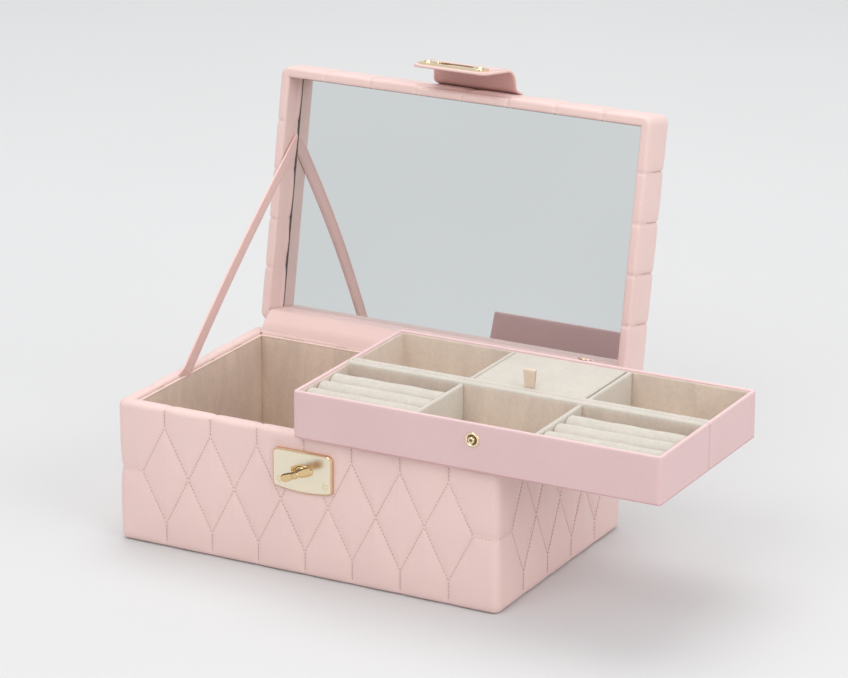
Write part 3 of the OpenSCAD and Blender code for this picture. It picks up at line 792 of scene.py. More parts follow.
def lid_outside():
    """Quilted leather on the lid's top and sides, turned round its rim to the mirror."""
    low, high = closed_box("lid_cover")
    glass = closed_box("mirror")[0][2]
    wall = closed_box("lid_inner_wrap")[0][0] - low[0] + 0.3
    rim, top = low[2], high[2]
    middle = (rim + top) / 2
    half = (high - low)[:2] / 2
    centre_y = (low[1] + high[1]) / 2
    loop = Loop(low, high, 6.0, 1.2, CREASES)
    corners = [(wall, glass + 0.4), (wall, rim), (0, rim), (0, top), (half[1] - 0.05, top)]
    line, normals = rounded_path(corners, [1.5, 2.4, 4.0], 1.2)
    walls = around([((u, rim - 60), (u, top + 60)) for u in crease_places(loop)], loop.round)
    top_seams = lid_top_seams(half)
    from_flap = np.maximum(abs(loop.along - loop.centres[0]) - 32, 0)
    under_flap = np.where(loop.normal[:, 1] < 0, from_flap * 0.25 - 0.85, 9.0)

    def turned_in(inset, z, on_walls):
        """Height over the rim's face and on the wall inside it."""
        from_mirror = np.clip((glass - z) / (glass - rim), 0, 1)
        on_face = np.clip((wall - 0.6 - inset) / 1.2, 0, 1)
        shallow = 0.22 * np.exp(-((on_walls - 1.4) / 0.6) ** 2) - 0.36 * np.exp(-on_walls / 0.4)
        return rim_height(on_walls) * on_face + shallow * from_mirror * (1 - on_face)

    def outside(inset, z, on_walls):
        """Height on the outer walls and over the top, pressed flat under the closure flap."""
        share = np.clip((inset - 1) / 8, 0, 1)
        on_top = seam_distance(loop.at(inset) - [0, centre_y], top_seams)
        wall_crown = 0.9 * math.sin(math.pi * (z - rim) / (top - rim)) * (1 - np.exp(-on_walls / 4))
        near_rim = np.clip((rim + 4 - z) / 4, 0, 1)
        side = (swell(on_walls, 1.1, 1.1, 0.8, 0.0) + wall_crown) * (1 - near_rim)
        side = side + rim_height(on_walls) * near_rim
        side = np.minimum(side, under_flap + 9 * np.clip((z - rim - 9) / 4, 0, 1))
        padded = swell(on_walls * (1 - share) + on_top * share)
        return side * (1 - share) + padded * share + lid_crown(inset)

    height = []
    for inset, z in line:
        on_walls = seam_distance(np.column_stack([loop.along, np.full(len(loop.along), z)]), walls)
        inside = inset > wall / 2 and z < middle or z < rim + 0.01
        height.append(turned_in(inset, z, on_walls) if inside else outside(inset, z, on_walls))
    points = sweep(loop, line, normals, height).reshape(-1, 3)
    points[:, 2] += ripple(points, 24, 5) * 0.2 * (points[:, 2] > top - 4)
    cover = make_piece(
        "lid_quilting", opened(points), grid_faces(len(line), len(loop.along), True), PINK, "quilted_leather",
        "lid", ["lid_cover", "lid_inner_wrap"])

    def sewn_open(points, out):
        return sewn(opened(points), opened(out + LID_HINGE) - LID_HINGE)

    parts = []
    for a, b in top_seams:
        flat = seam_line(a, b)
        inset = np.minimum(half[0] - abs(flat[:, 0]), half[1] - abs(flat[:, 1]))
        flat, inset = flat[inset > 4], inset[inset > 4]
        if len(flat) > 4:
            z = top - STITCH_INSET + lid_crown(inset)
            point = np.column_stack([flat[:, 0], flat[:, 1] + centre_y, z])
            parts += sewn_open(point, np.tile([0, 0, 1.0], (len(point), 1)))
    z = np.linspace(rim + 12, top - 5, 24)
    for u in crease_places(loop):
        parts += sewn_open(*on_wall(loop, STITCH_INSET, np.full(len(z), u), z))
    stitches("lid_stitching", parts, THREAD, "quilted_leather", "lid")


def mirror_edge():
    """A dark strip all round the mirror, painted shade of the gap at the glass's edge together with the glass's
    own dark edge, and pale along the hinge.
    """
    glass = closed_box("mirror")[0][2]
    wrap_low, wrap_high = closed_box("lid_inner_wrap")
    loop = Loop(wrap_low + 0.2, wrap_high - 0.2, 1.0, 20)
    line = [(0.0, glass + 0.1), (0.0, glass - 0.3), (1.8, glass - 0.3), (2.0, glass + 0.1)]
    rows = sweep(loop, line, [(0, 0)] * len(line))
    rear = rows[:, :, 1] > wrap_high[1] - 3
    rows[:, :, 1] = np.where(rear, np.maximum(rows[:, :, 1], wrap_high[1] - 1.9), rows[:, :, 1])
    faces = grid_faces(len(line), len(loop.along), True)
    edge = make_piece("mirror_edge_and_gap_shade", opened(rows), faces, EDGE_AND_GAP_SHADE, "mirror", "lid")
    edge.data.materials.append(MAUVE_EDGE)
    for face in edge.data.polygons:
        face.material_index = int(rear.ravel()[list(face.vertices)].all())


def lid_top_seams(half):
    """Two rows of diamonds on the lid's top, joined to the seams of its walls."""
    tall = 34.0
    seams = []
    for k in range(-3, 4):
        x = k * FRONT_PITCH
        for side in (-1, 1):
            for y0, y1 in ((-2 * tall, -tall), (0, -tall), (0, tall), (2 * tall, tall)):
                seams.append(((x, y0), (x + side * FRONT_PITCH / 2, y1)))
            seams.append(((x, side * 2 * tall), (x, side * half[1])))
    reach = 3.5 * FRONT_PITCH
    for sx in (-1, 1):
        for sy in (-1, 1):
            for y in (SIDE_PITCH / 2, SIDE_PITCH * 1.5):
                seams.append(((sx * reach, sy * tall), (sx * half[0], sy * y)))
    return seams


# ---------------------------------------------------------------- soft panels

DIVIDER_THICK = 3.0

def soft_panel(name, node, material, slot, edge, step, bulge, uneven, seed):
    """A rounded, slightly swollen stand-in for a node of the base that is one box."""
    low, high = box(node)
    points, faces = soft_box(low, high, edge, step, bulge)
    normal = unit(points - (low + high) / 2)
    points = points + normal * (ripple(points, 30, seed) * uneven)[:, None]
    return make_piece(name, points, faces, material, slot, "base", [node])


def divider_pads(name, node, body, edge, step, bulge, longer=0.0):
    """Two soft dividers, at the left and the right end of a node's box."""
    low, high = box(node)
    parts = []
    for x in (low[0], high[0] - DIVIDER_THICK):
        start = (x, low[1] - longer, low[2])
        end = (x + DIVIDER_THICK, high[1] + longer, high[2])
        parts.append(soft_box(start, end, edge, step, (bulge, 0, 0)))
    make_piece(name, *join_parts(parts), CREAM_SUEDE, "cream_suede", body, [node])


def base_inside():
    """Suede panels, floor pad, low dividers and the welt along the lining's top."""
    for seed, side in enumerate(("front", "back", "left", "right")):
        bulge = (0, 0.5, 0) if side in ("front", "back") else (0.5, 0, 0)
        soft_panel(f"lining_{side}_panel", f"lining_{side}", BEIGE_SUEDE, "suede", 0.6, 5, bulge, 0.12, seed)
    cushion = soft_panel("floor_cushion", "floor_pad", BEIGE_SUEDE, "suede", 0.9, 5, (0, 0, 0.8), 0.15, 7)
    soft_panel("long_divider_pad", "long_divider", CREAM_SUEDE, "cream_suede", 1.9, 4, (0, 0.3, 0), 0.1, 8)
    divider_pads("cross_divider_pads", "cross_dividers", "base", 1.4, 4, 0.3)
    welt_round_lining()


def welt_round_lining():
    """The light bead where the lining meets the rim."""
    left, front = box("lining_left")[0][0], box("lining_front")[0][1]
    right, back = box("lining_right")[1][0], box("lining_back")[1][1]
    top = box("lining_right")[1][2]
    radius = 0.85
    loop = Loop((left, front), (right, back), 2.0, 2.5)
    xy = loop.at(radius - 0.25)
    line = np.column_stack([xy, np.full(len(xy), top + 0.1)])
    make_piece("lining_welt", *bead(line, radius), PIPING, "suede", "base")


# ---------------------------------------------------------------- hinge gusset, stay strap and closure flap

def hinge_gusset():
    """The smooth strip between the base's lining and the mirror's lower edge."""
    lining_top = box("lining_back")[1]
    mirror_low, mirror_high = closed_box("mirror")
    rim = closed_box("lid_cover")[0][2]
    top = opened(np.array([0, mirror_high[1] - 0.75, mirror_low[2] - 0.2]))
    over_rim = opened(np.array([0, mirror_high[1] - 1.2, rim - 0.2]))
    foot_y, foot_z = lining_top[1] + 0.3, lining_top[2]
    bottom_shadow = [(foot_y, foot_z - 5), (foot_y, foot_z + 0.5), (foot_y + 4.0, foot_z + 8.0)]
    line, normals = rounded_path(bottom_shadow + [over_rim[1:], top[1:]], [2, 7, 3.5], 1.2)
    length = path_length(line)
    width = box("lining_right")[1][0] * 2 + 0.6
    points, faces = soft_box((-width / 2, 0, -0.4), (width / 2, length, 0.4), 0.35, 2.2)
    free = np.sin(math.pi * np.clip(points[:, 1] / (0.6 * length), 0, 1))
    points[:, 2] += ripple(points * [1, 2, 0], 60, 11) * 0.5 * free
    points = along_path(points, line, normals, 0)
    gusset = make_piece(
        "gusset_leather", points, faces, PINK_PLAIN, "smooth_leather", replaced=["hinge_gusset"])
    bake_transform(gusset)


def stay_strap():
    """The flat leather strap, twisted a little on its way up, with a stitch line along each edge."""
    low, high = box("stay_strap")
    corners = np.array([v.co for v in frame["nodes"]["stay_strap"].data.vertices]) / MM
    shut = turned(corners, LID_HINGE, LID_OPEN)
    bottom_shadow = corners[corners[:, 2] < low[2] + 1][:, 1:].mean(0)
    head = corners[shut[:, 2] > shut[:, 2].max() - 1][:, 1:].mean(0)
    x = (low[0] + high[0]) / 2
    width, thick, hidden_end = 10.5, high[0] - low[0], 3
    along = unit(head - bottom_shadow)
    bottom_shadow = bottom_shadow - along * hidden_end
    head = head + along * hidden_end + 4.0 * (opened([0, -1.0, 0]) - opened([0, 0, 0]))[1:]
    along = unit(head - bottom_shadow)
    across = np.array([-along[1], along[0]])
    length = float(np.linalg.norm(head - bottom_shadow))

    def laid(p):
        share = np.clip(p[:, 1] / length, 0, 1)
        twist = np.radians(7 * np.sin(math.pi / 2 * share))
        bow = 4.0 * np.sin(math.pi * share)
        sideways = p[:, 0] * np.sin(twist) + p[:, 2] * np.cos(twist)
        inplane = p[:, 0] * np.cos(twist) - p[:, 2] * np.sin(twist) + bow
        yz = bottom_shadow + p[:, 1:2] * along + inplane[:, None] * across
        tucked = 2.2 * (1 - np.clip(p[:, 1] / 9, 0, 1)) ** 2
        return np.column_stack([x + sideways - 2.4 * share ** 3 - tucked, yz])

    start = (LID_HINGE[0] * MM, *(bottom_shadow * MM))
    end = (LID_HINGE[0] * MM, *(head * MM))
    points, faces = soft_box((-width / 2, 0, -thick / 2), (width / 2, length, thick / 2), 0.5, 2.5)
    # the strap's leather is drawn lighter than the plain pink: painted light
    strap = make_piece(
        "strap_leather_band", laid(points), faces, STRAP_PINK_PAINTED_LIGHT, "smooth_leather", replaced=["stay_strap"])
    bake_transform(strap)
    parts = []
    ahead = np.linspace(7, length - 3, 120)
    same = np.ones(len(ahead))
    for edge in (-1, 1):
        for face in (-1, 1):
            flat = np.column_stack([same * edge * (width / 2 - 1.6), ahead, same * face * thick / 2])
            parts += stitch_parts(laid(flat), laid(flat + [0, 0, face * 0.5]) - laid(flat), 2.6, 1.8, 0.2)
    stitches("strap_stitching", parts, PALE_THREAD, "smooth_leather", blend=("base", "lid", start, end))


def closure_flap():
    """The curled flap in two pieces, split halfway between its root and its curl."""
    patch_low, patch_high = closed_box("flap_anchor")
    wall_y = closed_box("lid_cover")[0][1]
    root, curl = joint_at("flap_bend"), joint_at("flap_curl")
    strike = sum(box("strike_plate")) / 2
    # the leather's middle runs under the strike plate, from the bend to the flap's end
    under_plate = 1.75
    to_plate = strike - curl
    reach = math.sqrt(to_plate @ to_plate - under_plate ** 2)
    turn = math.asin(under_plate / math.hypot(*to_plate[1:]))
    forward = unit(turned(to_plate, (0, 0, 0), math.degrees(turn)) * [0, 1, 1])
    tip = curl + forward * (reach + 9.3)
    start = opened(np.array([0, wall_y - 0.6, patch_high[2] + 1.5]))
    under = opened(np.array([0, wall_y - 2.3, patch_low[2] + 2.0]))
    line, normals = rounded_path([start[1:], under[1:], root[1:], curl[1:], tip[1:]], [6, 3.0, 10.0], 0.8)
    length = path_length(line)
    travelled = travelled_along(line)

    def nearest(place):
        return travelled[np.argmin(np.linalg.norm(line - place[1:], axis=1))]

    patch = nearest(root)
    split = (patch + nearest(curl)) / 2
    knob = nearest(curl + forward * reach)
    thick, root_half, end_half, corner = 2.2, 31.5, 28.0, 6.5
    hole_u, hole_s = 15.4 / end_half, 5.2

    def half_width(s):
        wide = np.interp(s, [0, patch, length], [root_half, root_half, end_half])
        to_end = np.clip(s - (length - corner), 0, corner)
        return wide - corner + np.sqrt(np.maximum(corner ** 2 - to_end ** 2, 0))

    def laid(u, s, off):
        return along_path(np.column_stack([u * half_width(s), s, off]), line, normals, 0)

    def seam_parts(s):
        """Stitches near both edges, on both faces."""
        parts = []
        for edge in (-1, 1):
            u = edge * (1 - 2.4 / half_width(s))
            for face in (-1, 1):
                flat = laid(u, s, np.full(len(s), face * (thick / 2 + 0.02)))
                parts += stitch_parts(flat, laid(u, s, np.full(len(s), face * 3.0)) - flat, 2.45, 1.6, 0.24)
        return parts

    def leather_part(name, s0, s1, bodies, bend, replaced):
        across = spaced(2, 0.05, 0.045) - 1
        along = spaced(s1 - s0, 1.0, 1.0) + s0
        for place in (-hole_u, hole_u):
            across[np.argmin(abs(across - place))] = place
        middle_u, middle_s = (across[:-1] + across[1:]) / 2, (along[:-1] + along[1:]) / 2
        kept = ~((abs(middle_u)[:, None] < hole_u) & (abs(middle_s - knob)[None] < hole_s))
        points, faces = slab(across, along, kept)
        from_edge = np.minimum((1 - abs(points[:, 0])) * root_half, length - points[:, 1])
        rim = np.clip(from_edge, 0, 1.2) / 1.2
        off = points[:, 2] * thick / 2 * np.sqrt(1 - 0.8 * (1 - rim) ** 2)
        surface = laid(points[:, 0], points[:, 1], off)
        piece = make_piece(name, surface, faces, PINK_PLAIN, "smooth_leather", replaced=replaced)
        # the inner face gets the darker leather: painted shade under the curl
        piece.data.materials.append(FLAP_INSIDE_SHADE)
        inside = (points[:, 2][faces] > 0).all(1)
        piece.data.polygons.foreach_set("material_index", inside.astype(np.int32))
        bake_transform(piece)
        parts = seam_parts(np.linspace(s0 + 1, min(s1 - 1, length - 5.5), 60))
        stitches(f"{name}_stitching", parts, THREAD, "smooth_leather", blend=(*bodies, *bend))

    def bend_at(point, direction, reach):
        return tuple((point - unit(direction) * reach) * MM), tuple((point + unit(direction) * reach) * MM)

    first = unit(curl - root)
    at_root = bend_at(root, unit(root - under) + first, 3.5)
    at_curl = bend_at(curl, first + forward, 6.0)
    lower, upper = ("lid", "closure_flap"), ("closure_flap", "flap_tip")
    leather_part("flap_lower_leather", 0, split, lower, at_root, ["flap_anchor", "flap_root"])
    leather_part("flap_upper_leather", split, length, upper, at_curl, ["flap_end"])
    flap_eyelets(strike, forward)


def flap_eyelets(strike, forward):
    """Gold eyelets through the strike plate's ends and the leather."""
    reach = box("strike_rivets")[1][0] - 2.4
    out = turned(forward, (0, 0, 0), -90)
    back = [(-3.0, 3.3), (-2.75, 3.4), (-2.45, 3.2), (-2.3, 2.4), (-2.3, 1.5)]
    front = [(0.9, 1.5), (1.35, 1.8), (1.55, 2.3), (1.35, 2.9), (0.8, 3.2)]
    parts = [lathe(back + front, strike + [side * reach, 0, 0], out) for side in (-1, 1)]
    make_piece("strike_eyelets", *join_parts(parts), GOLD, "gold", "flap_tip", ["strike_rivets"])


# ---------------------------------------------------------------- lock

def make_capped(name, rows, material, slot, body, replaced=()):
    """A swept ring whose last row is closed by one flat face."""
    columns = len(rows[0])
    last = (len(rows) - 1) * columns
    faces = grid_faces(len(rows), columns, True).tolist() + [list(range(last, last + columns))]
    return make_piece(name, rows, faces, material, slot, body, replaced, orient=False)


def lock_front():
    """Lock plate with an eased edge in a browner gold that is painted reflection, the oval boss round the knob and
    two crosshead screws.
    """
    low, high = box("lock_plate")
    face_y = box("base_cover")[0][1]
    half = (high[0] - low[0]) / 2
    knob = joint_at("knob_turn")
    top, drop = high[2], 2.2
    bottom = low[2] + drop
    bow = [(x, low[2] + drop * (x / half) ** 2) for x in np.linspace(half * 0.86, -half * 0.86, 25)]
    corners = [(0, top), (half, top), (half, bottom), *bow, (-half, bottom), (-half, top), (0, top)]
    outline, normals = rounded_path(corners, [4.0, 3.0] + [0.0] * 25 + [3.0, 4.0], 0.6)
    outline, normals = outline[:-1], normals[:-1]
    band = [(-1.0, 0), (1.1, 0), (1.65, 0.2), (2.05, 0.65), (2.25, 1.25)]
    face = [(2.3, 1.8), (2.3, 1.85), (2.3, 2.6)]
    rows = []
    for depth, inset in band + face:
        flat = outline - normals * inset
        rows.append(np.column_stack([flat[:, 0], np.full(len(flat), face_y - depth), flat[:, 1]]))
    faces = grid_faces(len(band), len(outline), True)
    # the eased edge is drawn in a browner gold than the face: painted reflection
    make_piece("lock_plate_edge", rows[:len(band)], faces, GOLD_DEEP, "gold", "base")
    make_capped("lock_face_plate", rows[len(band) - 1:], GOLD_SATIN, "gold", "base", ["lock_plate"])
    angle = np.linspace(0, 2 * math.pi, 72, endpoint=False)
    boss = [(2.2, 0), (2.9, -0.05), (3.2, -0.4), (3.25, -0.8), (3.1, -1.2), (2.7, -1.4), (2.65, -1.8)]
    rows = []
    for depth, grow in boss:
        x, z = (8 + grow) * np.cos(angle), knob[2] + (4 + grow) * np.sin(angle)
        rows.append(np.column_stack([x, np.full(72, face_y - depth), z]))
    make_capped("lock_boss", rows, GOLD_KNOB, "gold", "base")
    screw_low, screw_high = box("lock_screws")
    reach, z = screw_high[0] - 2.0, (screw_low[2] + screw_high[2]) / 2
    parts = [crosshead((side * reach, face_y - 2.15, z), 2.4, 0.4 + side) for side in (-1, 1)]
    make_piece("lock_screw_heads", *join_parts(parts), GOLD_KNOB, "gold", "base", ["lock_screws"])


def crosshead(centre, radius, turn):
    """A domed screw head facing the front, in a shallow ring, with a cross recess."""
    reach = np.linspace(1, 0.01, 26)
    angle = np.linspace(0, 2 * math.pi, 48, endpoint=False)
    r, a = np.meshgrid(reach, angle, indexing="ij")
    x, z = r * np.cos(a), r * np.sin(a)
    one_bar, other_bar = x * math.cos(turn) + z * math.sin(turn), z * math.cos(turn) - x * math.sin(turn)
    crossed = np.minimum(abs(one_bar), abs(other_bar))
    dome = 0.25 * np.sqrt(np.maximum(1 - (r / 0.86) ** 2, 0)) * (r < 0.86)
    ring = 0.22 * np.exp(-((r - 0.93) / 0.05) ** 2)
    recess = 0.2 / (1 + np.exp((crossed - 0.16) * 40)) / (1 + np.exp((r - 0.58) * 40))
    height = dome + ring - recess
    points = np.stack([centre[0] + x * radius, centre[1] - height, centre[2] + z * radius], -1)
    return points.reshape(-1, 3), grid_faces(len(reach), len(angle), True)


def turn_knob():
    """Bow-tie bar on a round stem; its upward faces carry painted shade in dark gold."""
    axis = joint_at("knob_turn")
    low, high = box("turn_knob")
    front = low[1]
    lean = math.atan2(high[2] - low[2] - 5.5, high[0] - low[0] - 2)
    half, bar_y = 12.2, front + 2.4
    places = np.sin(np.linspace(-math.pi / 2, math.pi / 2, 61)) * 0.998
    angle = np.linspace(0, 2 * math.pi, 28, endpoint=False)
    round_across = np.sign(np.sin(angle)) * abs(np.sin(angle)) ** 0.8
    round_out = np.sign(np.cos(angle)) * abs(np.cos(angle)) ** 0.8
    rows = []
    for t in places:
        wing = abs(t)
        end = math.sqrt(max(1 - wing ** 5, 0))
        tall = (2.0 + 1.7 * wing ** 1.3) * end
        deep = (2.15 - 1.15 * min(wing * 1.6, 1) + 0.25 * wing) * max(end, 0.3)
        dish = 0.35 * math.sin(math.pi * min(wing * 1.1, 1))
        across, out = round_across * tall, round_out * deep
        out = out - dish * np.exp(-(across / 1.4) ** 2) * np.sign(out)
        along = t * half
        x = along * math.cos(lean) - across * math.sin(lean)
        z = axis[2] + along * math.sin(lean) + across * math.cos(lean)
        rows.append(np.column_stack([x, bar_y - out, z]))
    bar = (np.array(rows).reshape(-1, 3), grid_faces(len(rows), len(angle), True))
    proud = axis[1] - front
    bottom_shadow = [(-6, 3.0), (3.2, 3.0), (3.4, 3.9), (4.2, 4.0), (4.5, 3.4), (4.7, 2.5)]
    head = [(axis[1] - bar_y, 2.4), (proud - 0.5, 2.5), (proud, 1.6), (proud + 0.1, 0.01)]
    stem = lathe(bottom_shadow + head, (0, axis[1], axis[2]), (0, -1, 0))
    # the knob's darker gold is partly painted reflection
    knob = make_piece("knob_bow", *join_parts([bar, stem]), GOLD_KNOB, "gold", "turn_knob", ["turn_knob"])
    # faces turned upwards get the dark gold: painted shade along the bar's top edges
    knob.data.materials.append(GOLD_SHADE)
    for face in knob.data.polygons:
        upper = face.normal.z * math.cos(lean) - face.normal.x * math.sin(lean)
        face.material_index = int(upper > 0.3)


# ---------------------------------------------------------------- travel tray

OUTER_CORNER, FOLD_CORNER = 2.6, 1.1  # corner radii of a half away from the fold and at it

def tray_half(side, radii):
    """Leather shell, rim in lighter mauve that is painted highlight, a darker band at the bottom edge that is
    painted shadow, suede insert and dividers of one half of the tray.
    """
    body = f"tray_{side}"
    low, high = box(f"{body}_shell")
    lining_low, lining_high = box(f"{body}_lining")
    wall = lining_low[0] - low[0]
    bottom, top = low[2], high[2]
    loop = Loop(low, high, radii, 3.0)
    to_middle = (high - low)[1] / 2 - 0.05
    line, normals = rounded_path(
        [(to_middle, bottom), (0, bottom), (0, top), (wall, top), (wall, top - 4)], [0.9, 1.1, 1.1], 2.0)
    sweep_piece(f"{body}_leather", loop, line, normals, None, MAUVE, "tray_leather", body, [f"{body}_shell"])
    # the rim is drawn in lighter mauve: painted highlight along its top
    line, normals = rounded_path(
        [(0.3, top - 1.6), (0.3, top), (wall - 0.2, top), (wall - 0.2, top - 2)], [1.0, 1.0], 0.5)
    proud = [np.full(len(loop.along), 0.12)] * len(line)
    sweep_piece(f"{body}_rim", loop, line, normals, proud, MAUVE_EDGE, "tray_leather", body)
    # thin darker band round the bottom edge: painted shadow
    bottom_shadow = [(0.4, 0.02), (0.05, 0.2), (-0.08, 0.5), (-0.08, 0.9), (0.1, 1.15)]
    line = [(inset, bottom + rise) for inset, rise in bottom_shadow]
    sweep_piece(f"{body}_foot", loop, line, [(0, 0)] * len(line), None, TRAY_BOTTOM_SHADOW, "tray_leather", body)
    inside = Loop(lining_low, lining_high, 1.6, 3.0)
    thick, edge, floor = 1.0, lining_high[2], lining_low[2] + 1.0
    to_middle = (lining_high - lining_low)[1] / 2 - 0.05
    corners = [(0.05, edge - 4), (0.05, edge), (thick, edge), (thick, floor), (to_middle, floor)]
    line, normals = rounded_path(corners, [0.4, 0.5, 1.6], 2.0)
    points = sweep(inside, line, normals).reshape(-1, 3)
    points[:, 2] += ripple(points, 22, 21) * 0.12
    faces = grid_faces(len(line), len(inside.along), True)
    make_piece(f"{body}_insert", points, faces, TRAY_SUEDE, "suede", body, [f"{body}_lining"])
    divider_pads(f"{body}_divider_pads", f"{body}_dividers", body, 1.45, 3, 0.25, 0.2)


def ring_roll(number):
    """A suede roll with drawn-in ends."""
    low, high = box(f"ring_roll_{number}")
    size = high - low
    radius = size[1] / 2
    centre_y, centre_z = (low[1] + high[1]) / 2, high[2] - radius
    bottom_shadow = low[2] - centre_z
    skirt = [(radius - 0.3, bottom_shadow * t) for t in (0.12, 0.3, 0.55, 0.8)] + [(radius - 0.5, bottom_shadow)]
    crown = [(radius * math.cos(a), radius * math.sin(a)) for a in np.radians(np.linspace(180, 0, 25))]
    section = np.array([(-across, z) for across, z in reversed(skirt)] + crown + skirt)
    ends = np.array([0, 0.15, 0.5, 1.1, 2.0])
    rows = []
    for x in np.concatenate([ends, np.arange(4, size[0] - 4, 2.5), size[0] - ends[::-1]]):
        drawn_in = 1 - min(x, size[0] - x, ends[-1]) / ends[-1]
        ring = section * (1 - 0.16 * (1 - math.sqrt(1 - drawn_in ** 2)))
        sag = 0.15 * math.sin(x * 0.21 + number) * (ring[:, 1] > 0)
        y, z = centre_y + ring[:, 0], centre_z + ring[:, 1] + sag
        rows.append(np.column_stack([np.full(len(ring), low[0] + x), y, z]))
    columns = len(section)
    points = np.array(rows).reshape(-1, 3)
    faces = grid_faces(len(rows), columns, True).tolist()
    for row, inward in ((0, 1), (len(rows) - 1, -1)):
        middle = rows[row].mean(0)
        dish = middle + (rows[row] - middle) * 0.55 + [inward * 0.5, 0, 0]
        rim, start = row * columns, len(points)
        points = np.vstack([points, dish, middle + [inward * 0.9, 0, 0]])
        pairs = [(j, (j + 1) % columns) for j in range(columns)]
        faces += [[rim + j, rim + k, start + k, start + j] for j, k in pairs]
        faces += [[start + j, start + k, start + columns] for j, k in pairs]
    points[:, 2] += ripple(points, 22, 40 + number) * 0.12
    roll = make_piece(
        f"roll_{number}", points, faces, CREAM_SUEDE, "cream_suede", "tray_front", [f"ring_roll_{number}"],
        orient=False)


def fold_strip():
    """The double ridge of suede over the fold."""
    low, high = box("fold_strip")
    fold = joint_at("tray_fold")
    half = (high[1] - low[1]) / 2
    x = np.linspace(low[0] - 0.6, high[0] + 0.6, 110)
    near_fold = [(0.12, -1.9), (0.25, -0.6), (0.9, -0.12), (half * 0.5, 0.0)]
    ridge = near_fold + [(half - 1.0, -0.15), (half - 0.1, -0.9), (half, -2.6)]
    section = np.array([(-a, b) for a, b in reversed(ridge)] + ridge)
    top = fold[2] - 0.08
    rows = []
    for place in x:
        from_end = min(place - x[0], x[-1] - place)
        drop = 1.5 * max(0, 1 - from_end / 2.2) ** 2
        y, z = fold[1] + section[:, 0], top + section[:, 1] - drop
        rows.append(np.column_stack([np.full(len(section), place), y, z]))
    points = np.array(rows).reshape(-1, 3)
    points[:, 2] += np.minimum(ripple(points, 14, 61), 0) * 0.15
    faces = grid_faces(len(rows), len(section), False)
    strip = make_piece("fold_ridge", points, faces, CREAM_SUEDE, "cream_suede", replaced=["fold_strip"])
    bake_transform(strip)


def compartment_lid():
    """Suede covered lid with its folded pull tab."""
    low, high = box("compartment_lid")
    points, faces = soft_box(low, (high[0] - 0.9, high[1], high[2]), 1.2, 3, (0, 0, 0.45))
    points[:, 2] += np.minimum(ripple(points, 18, 71), 0.2) * 0.15
    body = "compartment_lid"
    lid = make_piece("compartment_lid_pad", points, faces, CREAM_SUEDE, "cream_suede", body, [body])
    tab_low, tab_high = box("lid_pull_tab")
    middle = (tab_low + tab_high) / 2
    half_height = (tab_high[2] - tab_low[2]) * 0.5
    side = [(0.75, tab_low[2] - 0.6), (0.95, tab_low[2] + half_height), (0.8, tab_high[2])]
    corners = [(middle[1] - off, z) for off, z in side] + [(middle[1] + off, z) for off, z in reversed(side)]
    line, normals = rounded_path(corners, [3, 0.75, 0.75, 3], 0.6)
    length = path_length(line)
    half_width = (tab_high[0] - tab_low[0]) / 2
    points, faces = soft_box((-half_width, 0, -0.45), (half_width, length, 0.45), 0.3, 0.9)
    points[:, 0] *= 1 - 0.3 * (2 * abs(points[:, 1] / length - 0.5)) ** 1.5
    points = along_path(points, line, normals, middle[0])
    make_piece("pull_tab_ribbon", points, faces, TAB_SUEDE, "suede", body, ["lid_pull_tab"])


def snap_tab():
    """Leather tongue behind the rear half, stitched round its edge, from its patch to its round end."""
    anchor_low = box("tab_anchor")[0]
    bend = joint_at("snap_tab_bend")
    tab_low, tab_high = box("snap_tab")
    middle_x = (tab_low[0] + tab_high[0]) / 2
    round_end = (tab_high[0] - tab_low[0]) / 2
    thick, reach, curled = 1.5, 18.6, 4.5
    lean = math.radians(TAB_LEAN)
    rise = math.radians(TAB_LEAN - 12)
    tip = bend[1:] + reach * np.array([math.sin(lean), math.cos(lean)])
    knee = tip - curled * unit(tip - bend[1:])
    curl = knee + curled * np.array([math.sin(rise), math.cos(rise)])
    start_y = anchor_low[1] + 0.75
    corners = [(start_y, anchor_low[2]), (start_y, bend[2] - 5), (bend[1], bend[2] - 1.5), knee, curl]
    line, normals = rounded_path(corners, [3, 1.6, 12], 0.7)
    length = path_length(line)

    def half_width(s):
        to_end = np.clip(s - (length - round_end), 0, round_end)
        from_start = np.clip(2 - s, 0, 2)
        return np.sqrt(np.maximum(round_end ** 2 - to_end ** 2, 0.01)) - (2 - np.sqrt(4 - from_start ** 2))

    def laid(points):
        return along_path(points, line, normals, middle_x)

    points, faces = soft_box((-1, 0, -thick / 2), (1, length, thick / 2), 0.02, 0.9)
    points[:, 0] *= half_width(points[:, 1])
    tab = make_piece(
        "snap_tab_leather", laid(points), faces, MAUVE, "tray_leather", replaced=["tab_anchor", "snap_tab"])
    start = (0, (bend[1] - 0.4) * MM, (bend[2] - 3.2) * MM)
    end = (0, (bend[1] + 1.6) * MM, (bend[2] + 0.4) * MM)
    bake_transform(tab)
    from_edge = 1.5
    ahead = np.linspace(2.5, length - round_end, 60)
    seams = [(side * (half_width(ahead) - from_edge), ahead) for side in (-1, 1)]
    angle = np.linspace(0, math.pi, 40)
    round_seam = round_end - from_edge
    seams.append((round_seam * np.cos(angle), length - round_end + round_seam * np.sin(angle)))
    parts = []
    for across, ahead in seams:
        for face in (-1, 1):
            flat = np.column_stack([across, ahead, np.full(len(ahead), face * thick / 2)])
            parts += stitch_parts(laid(flat), laid(flat + [0, 0, face]) - laid(flat), 2.4, 1.6, 0.18)
    blend = ("tray_rear", "snap_tab", start, end)
    stitches("snap_tab_stitching", parts, PALE_THREAD, "tray_leather", blend=blend)


